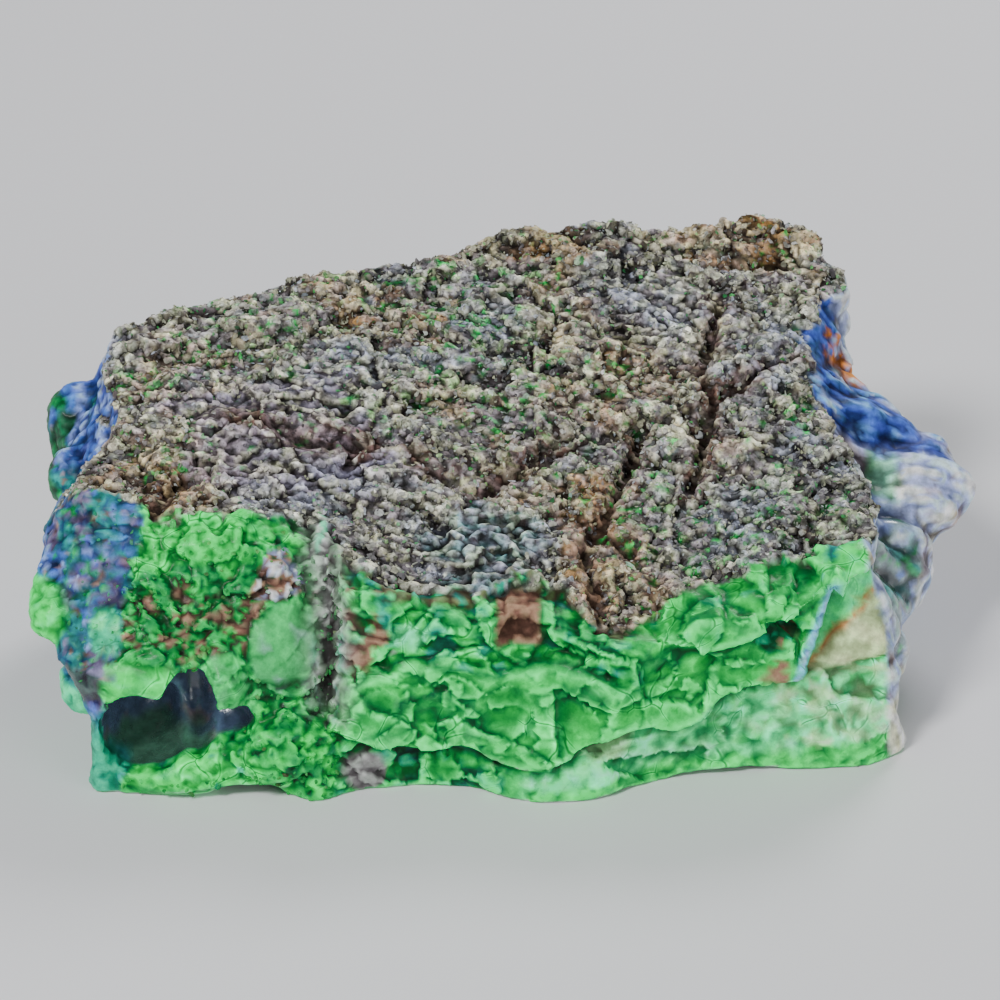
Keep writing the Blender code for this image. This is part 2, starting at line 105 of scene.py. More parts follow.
def over(value: Array, steep: float) -> Array:
    """Return 0 where a value is below nought, 1 where it is above 1 / steep, and a smooth rise between."""
    return eased(value * steep)


def line(gap: Array, width: float) -> Array:
    """Return a soft line of a given half width where gap is nought."""
    return np.exp(-((gap / width) ** 2))


def soft_max(a: Array, b: Array, blend: float) -> Array:
    """Return the larger of two fields, with their meeting edge rounded over blend."""
    near = np.clip(blend - np.abs(a - b), 0.0, None)
    return np.maximum(a, b) + near * near / (4.0 * blend)


def corner_number(ix: Array, iy: Array, iz: Array, seed: int) -> Array:
    """Return a repeatable number from -1 to 1 for each corner of a unit lattice."""
    key = (ix * 374761393 + iy * 668265263 + iz * 974634777 + seed * 362437) & 0xFFFFFFFF
    key = ((key ^ (key >> 13)) * 1274126177) & 0xFFFFFFFF
    key = ((key ^ (key >> 16)) * 668265263) & 0xFFFFFFFF
    return (key ^ (key >> 15)) / 0x7FFFFFFF - 1.0


def lumpy(x: Array, y: Array, z: Array, size: float, seed: int) -> Array:
    """Return smooth noise from -1 to 1, with lumps about size across."""
    scaled = [np.asarray(axis) / size for axis in np.broadcast_arrays(x, y, z)]
    floor = [np.floor(axis).astype(np.int64) for axis in scaled]
    part = [axis - low for axis, low in zip(scaled, floor)]
    part = [t * t * (3.0 - 2.0 * t) for t in part]
    total = 0.0
    for corner in product((0, 1), repeat=3):
        share = 1.0
        for step, t in zip(corner, part):
            share = share * (t if step else 1.0 - t)
        total = total + share * corner_number(*(low + step for low, step in zip(floor, corner)), seed)
    return total


def scallops(x: Array, y: Array, z: Array, size: float, seed: int) -> Array:
    """Return the squared distance to scattered points about size apart: bowls that meet in ridges."""
    scaled = [np.asarray(axis) / size for axis in np.broadcast_arrays(x, y, z)]
    floor = [np.floor(axis).astype(np.int64) for axis in scaled]
    nearest = np.full(scaled[0].shape, 9.0)
    for corner in product((-1, 0, 1), repeat=3):
        home = [low + step for low, step in zip(floor, corner)]
        gap = 0.0
        for axis in range(3):
            point = home[axis] + 0.5 + 0.42 * corner_number(*home, seed + axis)
            gap = gap + (scaled[axis] - point) ** 2
        nearest = np.minimum(nearest, gap)
    return nearest


def shells(x: Array, y: Array, z: Array, size: float, seed: int) -> tuple[Array, Array, Array]:
    """Share space out in cells about size across, each a thin shell with its own level and lean.

    Args:
        x: each point's place along the first axis.
        y: each point's place along the second.
        z: each point's place along the third.
        size: how wide a cell is.
        seed: which pattern.

    Returns:
        The point's own level, the nearest other cell's level, and the distance from the border between them.
    """
    scaled = [np.asarray(axis) / size for axis in np.broadcast_arrays(x, y, z)]
    floor = [np.floor(axis).astype(np.int64) for axis in scaled]
    first = np.full(scaled[0].shape, 9.0)
    second = first.copy()
    own = np.zeros_like(first)
    other = np.zeros_like(first)
    for corner in product((-1, 0, 1), repeat=3):
        home = [low + step for low, step in zip(floor, corner)]
        away = [scaled[k] - home[k] - 0.5 - 0.42 * corner_number(*home, seed + k) for k in range(3)]
        gap = sum(step * step for step in away)
        lean = sum(corner_number(*home, seed + 4 + k) * away[k] for k in range(3))
        level = corner_number(*home, seed + 3) + 0.9 * lean
        closer = gap < first
        next_one = ~closer & (gap < second)
        other = np.where(closer, own, np.where(next_one, level, other))
        second = np.where(closer, first, np.where(next_one, gap, second))
        own = np.where(closer, level, own)
        first = np.where(closer, gap, first)
    return own, other, (np.sqrt(second) - np.sqrt(first)) * size / 2.0


def ellipsoid(x: Array, y: Array, z: Array, centre: Point, radii: Point) -> Array:
    """Return roughly the distance outside an ellipsoid, below zero inside it."""
    away = np.sqrt(sum(((axis - c) / r) ** 2 for axis, c, r in zip((x, y, z), centre, radii)))
    return (away - 1.0) * min(radii)


def gap_to_route(x: Array, y: Array, route: Line) -> Array:
    """Return the distance from a line of straight runs on the crust."""
    nearest = np.full(np.shape(x), 1e3)
    for (ax, ay), (bx, by) in zip(route, route[1:]):
        dx, dy = bx - ax, by - ay
        along = np.clip(((x - ax) * dx + (y - ay) * dy) / (dx * dx + dy * dy), 0.0, 1.0)
        nearest = np.minimum(nearest, np.hypot(x - ax - along * dx, y - ay - along * dy))
    return nearest


def scarred(wall: Array, x: Array, z: Array, scars: Scars) -> Array:
    """Sink each scar's shallow bowl into a wall, or raise it where its depth is below zero."""
    for (cx, cz), (rx, rz), depth in scars.values():
        inside = 1.0 - ((x - cx) / rx) ** 2 - ((z - cz) / rz) ** 2
        wall = wall + depth * np.clip(inside, 0.0, None)
    return wall


@dataclass(frozen=True)
class StoneShape:
    """The stone's form: a formula that is below zero inside it, with named walls and features."""

    box_low: Point = (-70.0, -51.0, -2.4)
    box_high: Point = (72.0, 44.0, 53.0)
    box_centre: tuple[float, float] = (1.0, -4.0)
    underside_rise: float = 3.2

    crust_x: tuple[float, ...] = (-58, -30, -5, 20, 50)
    crust_y: tuple[float, ...] = (-46, -40, -15, 10, 38)
    crust_z: tuple[tuple[float, ...], ...] = (
        (34.4, 30, 23.2, 20.4, 24.4),
        (35, 31, 25, 22.5, 26),
        (37, 36, 32, 31, 32.5),
        (40, 41, 40, 40, 39.5),
        (42.5, 45.5, 47.5, 48.2, 46),
    )

    front_foot: Line = (
        (-60, -35), (-54, -42.2), (-45, -43.4), (-39, -42), (-34, -39.5), (-29, -43), (-23.5, -46),
        (-18, -42.2), (-10, -40.6), (-2.5, -41.6), (5, -45.8), (11, -44.2), (21, -40.4), (32, -37.8),
        (45, -37), (51, -36), (56, -31),
    )
    front_rim: Line = (
        (-60, -21), (-52, -25), (-44, -29.5), (-31, -29.5), (-24.5, -29), (-21, -36), (-15.5, -38.8),
        (-7.7, -37.4), (-2.6, -38.2), (0, -36.2), (7.8, -33.7), (12.3, -38.3), (14.5, -41), (19.4, -38.4),
        (24.7, -34.9), (31, -33.9), (39, -29.8), (47, -26.8), (55, -24),
    )
    left_swell: Line = (
        (-60, 7), (-54, 7.5), (-45, 5.6), (-39, 6.2), (-34, 6), (-29, 3.2), (-24, 0.6), (-22, 0), (60, 0),
    )
    swell_heights: Line = ((0, 0), (4, 0.25), (11, 0.85), (16, 1), (24, 0.6), (33, 0))

    plate_edge: Line = (
        (-23, 9.5), (-17, 7.5), (-10, 6), (-5, 6.6), (-1, 5.2), (2, 4.4), (6, 4.6), (10, 6.6), (14, 9),
        (19, 10.4), (22.5, 8), (26, 9.5), (28.5, 12), (34, 13.2), (38.5, 13.6), (60, 14),
    )
    plate_thick: Line = ((-23, 1.6), (-10, 2.2), (6, 2.6), (24, 2.6), (38, 3.4), (60, 3.4))
    fin: Point = (38.6, 13.0, 0.42)
    band_edge: Line = (
        (-23, 14), (-17, 17), (-11, 19.5), (-7, 18), (-3, 17.4), (4, 18), (9, 19), (14, 16.5), (22, 15.5),
        (60, 15),
    )
    band_set_back: float = 1.3
    wedge_edge: Line = ((17, 24), (22, 20.5), (29, 19.6), (38, 22.8), (47, 26.6), (60, 30))
    wedge_out: Line = ((14, 0), (23, 1.1), (38, 1.8), (60, 1.8))

    back_rim: Line = (
        (-64, 10), (-54, 15.5), (-45, 19.5), (-37, 22.5), (-28, 25.5), (-20, 28.5), (-8.5, 31), (-3, 33),
        (3, 36), (14, 36), (29, 37), (40, 37.8), (44, 36), (50, 32), (60, 22),
    )
    back_out: Line = ((0, -3.2), (6, 0.6), (17, 2.6), (27, 0.6), (36, 1.4), (44, 0.2), (52, -1))
    back_layer_edge: Line = ((-60, 31), (-38, 34), (-20, 33), (-4, 38), (16, 39.5), (30, 37.5), (60, 41))
    back_layer_out: float = 1.8

    left_reach: Line = (
        (0, -53), (3, -52.4), (6, -51.6), (10.5, -52.8), (14, -55.6), (18, -58.4), (22.5, -60.4),
        (27, -60.6), (31, -58.6), (35, -55.6), (39, -53.6), (52, -49),
    )
    left_along: Line = (
        (-44, 0.8), (-36, 0.2), (-29, -0.2), (-18, -0.2), (-8, 2.4), (-3, 1.4), (5, -0.8), (14, -1.2),
        (20, 0.6), (26, 5), (34, 12),
    )

    right_y: tuple[float, ...] = (-40, -34, -26, -18, -8, 2, 10, 20, 30, 40)
    right_rim: tuple[float, ...] = (49.8, 49.8, 49.8, 49.2, 47.2, 41.6, 41.0, 44.0, 47.6, 45.0)
    right_shoulder: tuple[float, ...] = (52.4, 52.8, 52.6, 52.6, 54.0, 58.5, 58.0, 51.6, 49.6, 47.0)
    shoulder_height: tuple[float, ...] = (18, 18, 17, 17, 20, 22, 25, 31.5, 37, 41)
    right_foot: tuple[float, ...] = (53.2, 53.8, 53.2, 51.0, 50.5, 52.0, 52.0, 50.0, 48.0, 45.0)
    shoulder_undercut: float = 7.0

    lump_blend: float = 0.55
    fold_gap: float = 6.4
    fold_high: float = 0.3
    lumps: Lumps = field(default_factory=lambda: {
        "knob": ((57.2, 3, 22), (8.2, 9.6, 6.4)),
        "knob_shoulder": ((49.6, 9, 25), (7, 9, 7)),
        "knob_root": ((54, -5.5, 14.5), (6, 9.5, 8.5)),
        "corner_rib": ((52, -17.5, 8), (2.6, 6, 8)),
        "right_back_lump": ((47.2, 28, 40.4), (3.2, 4.2, 3.4)),
        "left_chip": ((-59.2, -29.5, 20.6), (3.4, 5.5, 4.2)),
        "left_window_back": ((-59.8, 11.5, 27.5), (4.4, 5.2, 6)),
        "left_window_front": ((-60, -0.8, 25.6), (3.4, 4.2, 4.4)),
        "lower_left_chip": ((-55.2, -32.5, 10.2), (2.8, 5, 3)),
        "hollow_sill": ((-40, -41.6, 3.2), (9, 3.2, 3.6)),
        "left_post": ((-52.3, -40, 5), (2.2, 3.6, 8.5)),
        "low_ledge": ((-28, -42, 5.5), (7, 3.4, 4.2)),
        "front_toe": ((7, -42.6, 1.8), (9, 2.8, 3.4)),
        "nose": ((9.6, -36, 23.6), (3.8, 3.4, 3.2)),
    })
    bites: Lumps = field(default_factory=lambda: {
        "hollow": ((-46.6, -43, 9.2), (5.6, 12.5, 5.6)),
        "hollow_top": ((-40.6, -42, 12.2), (3.8, 9.5, 6.4)),
        "hollow_tip": ((-36.8, -43, 10.2), (4.4, 7, 2.6)),
        "left_notch": ((-58.8, -35.5, 14.2), (5.6, 6.5, 2.2)),
        "right_recess": ((56, -19.5, 19.5), (3, 6, 6.6)),
        "right_recess_top": ((50.8, 1.5, 38.6), (5, 4.6, 3.6)),
        "behind_block": ((45.6, 0.6, 37.4), (5.8, 3.6, 3)),
        "right_pale_face": ((49.5, -37.6, 21), (8, 6, 9)),
        "foot_arch_left": ((-33.6, -42.5, -0.6), (4.6, 9, 2.6)),
        "foot_arch_right": ((30, -37, -1.9), (11, 7, 2.7)),
        "foot_arch_back": ((-12, 33, -1), (13, 9, 4.6)),
        "foot_arch_end": ((53, 8, -1), (8, 12, 4.5)),
    })
    scars: Scars = field(default_factory=lambda: {
        "lip": ((-46.8, 19.6), (7.6, 5.4), -1.5),
        "plate_over_hollow": ((-35.9, 15.4), (4, 5.2), -1.9),
        "panel": ((-28.4, 20.2), (4.9, 6.4), -1.4),
        "panel_low": ((-28, 13.2), (4.4, 2.6), 0.8),
        "dish": ((1.2, 12), (4.6, 4.6), 1.2),
        "dish_left": ((-10.4, 10.2), (6.2, 3.4), 1),
        "dish_far_left": ((-18.6, 12.4), (4.4, 3.2), 0.8),
        "dish_right": ((9.8, 12.4), (5.2, 3.4), 0.9),
        "dish_small": ((-6, 15), (3.6, 2.4), 0.8),
        "dish_low": ((4.4, 6.8), (4.6, 2.4), 0.7),
        "chip_square": ((14.4, 13.6), (1.4, 1.8), -0.7),
        "green_face": ((31.4, 17.2), (5.6, 3.6), 0.9),
        "green_face_low": ((25.6, 13.2), (4.4, 3), 0.8),
        "brown_step": ((2.6, 22.4), (2.6, 2.4), 0.9),
        "under_wedge": ((36.6, 20.4), (4.4, 2), 1.6),
        "pale_upper": ((43.2, 19.8), (3.6, 5.4), 1.1),
        "pale_lower": ((47.6, 9.2), (5.4, 6.6), 0.6),
        "pale_middle": ((27, 5.6), (8, 3.8), 0.7),
    })
    back_scars: Scars = field(default_factory=lambda: {
        "large": ((14, 24), (17, 12.5), 4.2),
        "large_low": ((2, 10), (11, 8), 2.8),
        "left": ((-33, 25), (14, 10), 3.6),
        "left_low": ((-45, 11), (10, 8), 2.6),
        "right": ((39, 16), (11, 10), 3.8),
        "right_high": ((40, 33), (8, 6.5), 2.2),
        "nub": ((-12, 22), (7, 9), -2.2),
        "nub_right": ((27, 8), (6.5, 6), -2),
    })
    left_scars: Scars = field(default_factory=lambda: {
        "front": ((-17, 19), (8, 9), 1.6),
        "groove": ((-7.5, 24), (3, 9), 1.6),
        "low": ((-14, 7), (9, 6), 2.2),
        "back": ((6, 11), (8, 7), 3.4),
    })
    right_scars: Scars = field(default_factory=lambda: {
        "recess": ((-20, 18.5), (5.5, 7), 1.6),
        "back": ((27, 19), (10, 10), 4),
        "back_high": ((16, 34), (6, 7), 1.4),
        "low": ((12, 8), (10, 6), 2.4),
        "front_low": ((-28, 10), (5, 8), 0.8),
    })

    crust_margin: Line = (
        (-60, 1.6), (-46, 2.2), (-36, 3.4), (-28, 3.6), (-22, 4.6), (-12, 4.4), (-4, 4.2), (3, 4.6),
        (9, 3.6), (13, 2.4), (17, 4.2), (22, 6.4), (28, 8.4), (36, 8.2), (44, 7.0), (50, 5.6), (60, 5.0),
    )
    seam: Line = ((6, -21.6), (14, -22.4), (20, -21.8), (26, -22.6), (34, -23.4))
    seam_half_width: float = 1.5
    seam_depth: float = 2.0
    cracks: tuple = (
        (((31, 20), (29, 11), (28, 7), (29.5, 2), (28, -4), (27, -9), (25, -14)), 1.15, 2.4),
        (((29.5, 2), (34, 5), (38, 9), (42, 11)), 1.0, 2.0),
        (((19, -4), (17, -11), (15, -16), (13, -21), (11, -26), (12, -31), (13, -38)), 1.35, 2.2),
        (((13, -21), (17, -25), (20, -31)), 1.1, 1.2),
        (((-46, -28), (-44, -23), (-42, -19)), 2.2, 1.6),
        (((-12, -11), (-7, -13), (-3, -15), (2, -11.5), (8, -7)), 1.2, 1.1),
        (((-36, -6), (-26, -10), (-17, -9)), 1.3, 0.8),
    )
    crack_fill: float = 0.6
    crust_steps: tuple = (
        (((-60, 13), (-51, 6), (-35, 11), (-22, 18), (-8, 26), (-3, 28), (12, 27), (24, 30), (60, 33)), 1.1),
        (((-60, -10), (-40, -14), (-20, -8), (-7, -13), (2, -11), (9, -6), (20, -3), (28, 1), (60, 8)), 1.2),
    )

    def crust_table(self, x: Array, y: Array) -> Array:
        """Return the height of the crust without its lumps."""
        rows = [np.interp(x, self.crust_x, row) for row in self.crust_z]
        height = rows[-1] + 0.0 * y
        for near, far, low, high in zip(self.crust_y, self.crust_y[1:], rows, rows[1:]):
            share = np.clip((y - near) / (far - near), 0.0, 1.0)
            height = np.where(y < far, np.where(y >= near, low + (high - low) * share, height), height)
        return np.where(y < self.crust_y[0], rows[0], height)

    def crust_top(self, x: Array, y: Array) -> Array:
        """Return the height of the weathered crust: steps, cracks and lumps on the table's slope."""
        wander = 1.6 * lumpy(x, y, 0.0, 9.0, 11)
        height = self.crust_table(x, y)
        for route, drop in self.crust_steps:
            edge = through(route, x)
            height = height + drop * (past(y + wander - edge, 1.8) - 0.5)
        for route, half_width, depth in self.cracks:
            gap = gap_to_route(x + 0.6 * wander, y, route) / half_width
            open_share = 1.0 - self.crack_fill * (0.5 + 0.5 * lumpy(x, y, 0.0, 4.5, 15))
            height = height - depth * open_share * np.exp(-gap * gap * 1.3)
        height = height + 0.8 * lumpy(x, y, 0.0, 13.0, 12)
        height = height + 0.45 * lumpy(x, 1.5 * y, 0.0, 5.2, 13)
        return height - 1.5 * (scallops(x, 1.4 * y, 0.0, 7.0, 14) - 0.3)

    def front_wall(self, x: Array, z: Array) -> Array:
        """Return how far forward (low y) the broken front face lies."""
        foot = through(self.front_foot, x)
        rim = through(self.front_rim, x)
        wall = foot + (rim - foot) * z / self.crust_table(x, rim)
        wall = wall - through(self.left_swell, x) * through(self.swell_heights, z)

        wander = 0.7 * lumpy(x, 0.0, z, 5.0, 21)
        right_of_seam = eased((x + 22.5) / 1.5)
        left_of_fin = past(self.fin[0] + self.fin[2] * (z - self.fin[1]) - x, 0.8)
        over_plate_edge = past(z + wander - through(self.plate_edge, x), 0.9)
        wall = wall - through(self.plate_thick, x) * over_plate_edge * left_of_fin * right_of_seam
        over_band_edge = past(z + wander - through(self.band_edge, x), 1.2)
        short_of_wedge = eased((19.0 - x) / 5.0)
        wall = wall + self.band_set_back * over_band_edge * right_of_seam * short_of_wedge
        over_wedge_edge = past(z + 0.4 * wander - through(self.wedge_edge, x), 0.8)
        behind_fin = through(self.plate_thick, x) * (1.0 - left_of_fin)
        wall = wall - (through(self.wedge_out, x) + behind_fin) * over_wedge_edge * eased((x - 15.0) / 6.0)

        wall = scarred(wall, x, z, self.scars)
        seam_gap = (x - np.interp(z, *zip(*self.seam))) / self.seam_half_width
        return wall + self.seam_depth * np.exp(-seam_gap * seam_gap) * eased((z - 8.0) / 5.0)

    def back_wall(self, x: Array, z: Array) -> Array:
        """Return how far back (high y) the rough back face lies."""
        wander = 1.5 * lumpy(x, 40.0, z, 7.0, 32)
        wall = through(self.back_rim, x) + through(self.back_out, z) + 1.5 * lumpy(x, 40.0, z, 15.0, 31)
        wall = wall - self.back_layer_out * past(through(self.back_layer_edge, x) - z - wander, 1.4)
        return -scarred(-wall, x, z, self.back_scars)

    def crack_cut(self, x: Array, y: Array) -> Array:
        """Return how much deeper the cracks are than crust_top alone makes them."""
        cut = np.zeros(np.shape(x))
        for route, half_width, depth in self.cracks:
            cut = np.maximum(cut, 0.28 * depth * line(gap_to_route(x, y, route), 0.6 * half_width))
        return cut

    @staticmethod
    def drift(x: Array, y: Array, z: Array) -> tuple[Array, Array]:
        """Return how far the stone's features wander sideways and up at each point."""
        drift_x = 1.0 * lumpy(x, y, z, 8.0, 41) + 0.4 * lumpy(x, y, z, 3.6, 43)
        drift_z = 1.0 * lumpy(x, y, z, 8.0, 42) + 0.4 * lumpy(x, y, z, 3.6, 44)
        return drift_x, drift_z * eased(z / 5.0)

    def underside(self, x: Array, y: Array) -> Array:
        """Return the height of the underside: on the surface in patches, and along the front foot."""
        rise = 0.75 * lumpy(x, y, 0.0, 17.0, 61) + 0.35 * lumpy(x, y, 0.0, 7.0, 62) + 0.08
        return self.underside_rise * np.clip(rise, 0.0, None) * eased((y + 34.0) / 10.0)

    def left_end(self, y: Array, z: Array) -> Array:
        """Return how far left (low x) the stone reaches."""
        return scarred(through(self.left_reach, z) + through(self.left_along, y), y, z, self.left_scars)

    def right_end(self, y: Array, z: Array) -> Array:
        """Return how far right (high x) the stone reaches, before the knob is added."""
        rim = np.interp(y, self.right_y, self.right_rim)
        shoulder = np.interp(y, self.right_y, self.right_shoulder)
        height = np.interp(y, self.right_y, self.shoulder_height)
        foot = np.interp(y, self.right_y, self.right_foot)
        rim_height = self.crust_table(rim, y)
        above = shoulder + (rim - shoulder) * (z - height) / (rim_height - height)
        rise = np.clip((z - height + self.shoulder_undercut) / self.shoulder_undercut, 0.0, 1.0)
        below = foot + (shoulder - foot) * rise
        return -scarred(-np.where(z > height, above, below), y, z, self.right_scars)

    def waxy_folds(self, x: Array, y: Array, z: Array) -> Array:
        """Return the height of the folds that run down the right end."""
        along = y + 0.5 * z + 3.0 * lumpy(0.0, y, z, 11.0, 71)
        return self.fold_high * np.sin(2.0 * np.pi * along / self.fold_gap) * eased((x - 46.0) / 5.0)

    def stone(self, x: Array, y: Array, z: Array) -> Array:
        """Return the whole stone's field: below zero inside, above zero outside."""
        drift_x, drift_z = self.drift(x, y, z)
        x, z_soft = x + drift_x, z + drift_z

        bowls = 2.6 * (scallops(x, 0.8 * y, 1.15 * z_soft, 11.0, 51) - 0.33)
        flakes = 1.1 * (scallops(x, 0.8 * y, 1.4 * z_soft, 5.0, 52) - 0.33)
        calm = np.exp(-(((x + 28.5) / 5.0) ** 2 + ((z_soft - 19.0) / 7.0) ** 2))
        broken = (0.55 * bowls + 0.75 * flakes) * (1.0 - 0.8 * calm)
        pale_low = eased((x - 6.0) / 6.0) * eased((14.0 - z_soft) / 4.0) * eased((-20.0 - y) / 5.0)
        front = self.front_wall(x, z_soft) - y - broken * (0.75 - 0.4 * pale_low)

        back = y - self.back_wall(x, z_soft) - 1.5 * broken
        left = self.left_end(y, z_soft) - x - 1.2 * broken
        right = x - self.right_end(y, z_soft) - 0.8 * broken
        body = soft_max(front, back, 2.0)
        body = soft_max(body, 0.8 * left, 2.4)
        body = soft_max(body, 0.8 * right, 2.4)
        for centre, radii in self.lumps.values():
            lump = -ellipsoid(x, y, z_soft, centre, radii) - 0.5 * broken
            body = -soft_max(-body, lump, self.lump_blend * min(radii))
        body = body - self.waxy_folds(x, y, z_soft)
        for centre, radii in self.bites.values():
            body = soft_max(body, -ellipsoid(x, y, z_soft, centre, radii), 0.7)
        top = 0.93 * (z - self.crust_top(x, y))
        body = soft_max(body, top, 1.3)
        return soft_max(body, self.underside(x, y) - z, 0.5)


def stretched(values: Array, axis: int, old: Array, new: Array) -> Array:
    """Read a grid at new places along one axis, by straight lines between its old ones."""
    low = np.clip(np.searchsorted(old, new) - 1, 0, len(old) - 2)
    share = (new - old[low]) / (old[low + 1] - old[low])
    shape = [1, 1, 1]
    shape[axis] = len(new)
    share = share.reshape(shape)
    return np.take(values, low, axis) * (1.0 - share) + np.take(values, low + 1, axis) * share


def without_pinches(grid: Array, fill: float = 0.1) -> Array:
    """Fill the places where two parts of the stone would touch along an edge or at a point only.

    Args:
        grid: the sampled field, changed in place.
        fill: how far inside a filled place is set.

    Returns:
        The same grid.
    """
    pinched = True
    while pinched:
        pinched = False
        for span in ((1, 1, 0), (1, 0, 1), (0, 1, 1), (1, 1, 1)):
            spread = [s for s in product((0, 1), repeat=3) if all(a <= b for a, b in zip(s, span))]
            view = {
                s: grid[tuple(slice(a, n - b + a) for a, b, n in zip(s, span, grid.shape))] for s in spread
            }
            for start in spread[: len(spread) // 2]:
                end = tuple(b - a for a, b in zip(start, span))
                others = [view[s] for s in spread if s not in (start, end)]
                apart = (view[start] < 0) & (view[end] < 0) & np.all([o >= 0 for o in others], axis=0)
                if apart.any():
                    pinched = True
                    others[0][apart] = -fill
                ringed = (view[start] >= 0) & (view[end] >= 0) & np.all([o < 0 for o in others], axis=0)
                if ringed.any():
                    pinched = True
                    view[start][ringed] = -fill
    return grid


def net_over(grid: Array, low: Point, step: float) -> tuple[Array, Array]:
    """Draw the closed net where a sampled field changes sign.

    Args:
        grid: the field at each point of the grid.
        low: the grid's lowest corner.
        step: the distance between grid points.

    Returns:
        The net's points, and its four-sided faces as rows of point numbers.
    """
    inside = grid < 0
    cells = tuple(n - 1 for n in grid.shape)
    corners = list(product((0, 1), repeat=3))

    def at(values: Array, corner: tuple[int, ...]) -> Array:
        """Return the values at one corner of every cell."""
        return values[tuple(slice(c, c + n) for c, n in zip(corner, cells))]

    count = sum(at(inside, corner).astype(np.int8) for corner in corners)
    active = (count > 0) & (count < 8)
    number = np.full(cells, -1, np.int64)
    number[active] = np.arange(active.sum())
    place = np.argwhere(active).astype(float)
    total, hits = np.zeros_like(place), np.zeros(len(place))
    for start in corners:
        for axis in range(3):
            if start[axis]:
                continue
            end = tuple(c + (k == axis) for k, c in enumerate(start))
            f0, f1 = at(grid, start)[active], at(grid, end)[active]
            crossed = (f0 < 0) != (f1 < 0)
            share = f0[crossed] / (f0[crossed] - f1[crossed])
            point = np.tile(np.array(start, float), (crossed.sum(), 1))
            point[:, axis] = share
            total[crossed] += point
            hits[crossed] += 1
    points = (place + total / hits[:, None]) * step + np.array(low)

    faces = []
    for axis in range(3):
        side, other = (axis + 1) % 3, (axis + 2) % 3
        first = [slice(1, n) for n in cells]
        first[axis] = slice(0, cells[axis])
        second = list(first)
        second[axis] = slice(1, cells[axis] + 1)
        f0, f1 = inside[tuple(first)], inside[tuple(second)]
        home = np.argwhere(f0 != f1) + 1
        leaving = f0[f0 != f1]
        home[:, axis] -= 1
        ring = []
        for ds, do in ((-1, -1), (0, -1), (0, 0), (-1, 0)):
            cell = home.copy()
            cell[:, side] += ds
            cell[:, other] += do
            ring.append(number[tuple(cell.T)])
        ring = np.stack(ring, axis=1)
        ring[~leaving] = ring[~leaving][:, ::-1]
        faces.append(ring)
    return points, np.concatenate(faces)


@dataclass(frozen=True)
class Palette:
    """Colours of the stone, in the linear values that shaders use."""

    vivid: Colour = (0.0, 0.40, 0.050)
    fresh: Colour = (0.0, 0.29, 0.045)
    leaf: Colour = (0.001, 0.155, 0.034)
    deep: Colour = (0.002, 0.056, 0.020)
    pale_green: Colour = (0.015, 0.66, 0.12)
    mint: Colour = (0.055, 0.74, 0.23)
    cream: Colour = (0.19, 0.62, 0.27)
    olive: Colour = (0.026, 0.20, 0.060)
    beige: Colour = (0.44, 0.55, 0.27)
    sand: Colour = (0.64, 0.64, 0.38)
    ochre: Colour = (0.32, 0.17, 0.05)
    orange: Colour = (0.50, 0.16, 0.04)
    brown: Colour = (0.130, 0.072, 0.052)
    red_brown: Colour = (0.215, 0.105, 0.075)
    dark_brown: Colour = (0.020, 0.014, 0.012)
    taupe: Colour = (0.38, 0.37, 0.37)
    grey_brown: Colour = (0.20, 0.18, 0.19)
    violet_grey: Colour = (0.26, 0.25, 0.37)
    blue_grey: Colour = (0.26, 0.32, 0.44)
    tan: Colour = (0.40, 0.27, 0.17)
    white: Colour = (0.47, 0.54, 0.84)
    lilac: Colour = (0.26, 0.36, 0.80)
    smoke: Colour = (0.17, 0.22, 0.24)
    blue: Colour = (0.045, 0.080, 0.40)
    night_blue: Colour = (0.010, 0.016, 0.090)
    sky: Colour = (0.16, 0.40, 0.82)
    teal: Colour = (0.014, 0.190, 0.180)
    sea: Colour = (0.002, 0.36, 0.17)
    purple: Colour = (0.150, 0.090, 0.200)
    bottle: Colour = (0.006, 0.066, 0.030)
    slate: Colour = (0.024, 0.024, 0.038)
    steel: Colour = (0.034, 0.052, 0.090)
    petrol: Colour = (0.020, 0.095, 0.150)
    moss: Colour = (0.028, 0.080, 0.050)


class Lustre(Enum):
    """How a zone of the stone takes the light: roughness and how much clear gloss lies on it."""

    GLASSY = (0.24, 0.55)
    WAXY = (0.42, 0.06)
    SATIN = (0.55, 0.03)
    DULL = (0.85, 0.0)


@dataclass
class Coat:
    """Colour, lustre and glow of every point of the surface, laid on zone by zone."""

    points: int
    colour: Array = field(init=False)
    rough: Array = field(init=False)
    gloss: Array = field(init=False)
    glow: Array = field(init=False)

    def __post_init__(self) -> None:
        """Start with nothing laid on."""
        self.colour = np.zeros((self.points, 3))
        self.rough = np.full(self.points, 0.5)
        self.gloss = np.zeros(self.points)
        self.glow = np.zeros(self.points)

    def lay(self, mask: Array, colour: Colour, glow: float = 0.0, lustre: Lustre | None = None) -> None:
        """Lay one colour over the points that a mask covers.

        Args:
            mask: from 0 to 1 for each point.
            colour: the colour.
            glow: how much of the colour the zone gives off as painted glow.
            lustre: how the zone takes the light, or None to leave it.
        """
        mask = np.clip(mask, 0.0, 1.0)
        self.colour += (np.array(colour) - self.colour) * mask[:, None]
        self.glow += (glow - self.glow) * mask
        if lustre:
            rough, gloss = lustre.value
            self.rough += (rough - self.rough) * mask
            self.gloss += (gloss - self.gloss) * mask


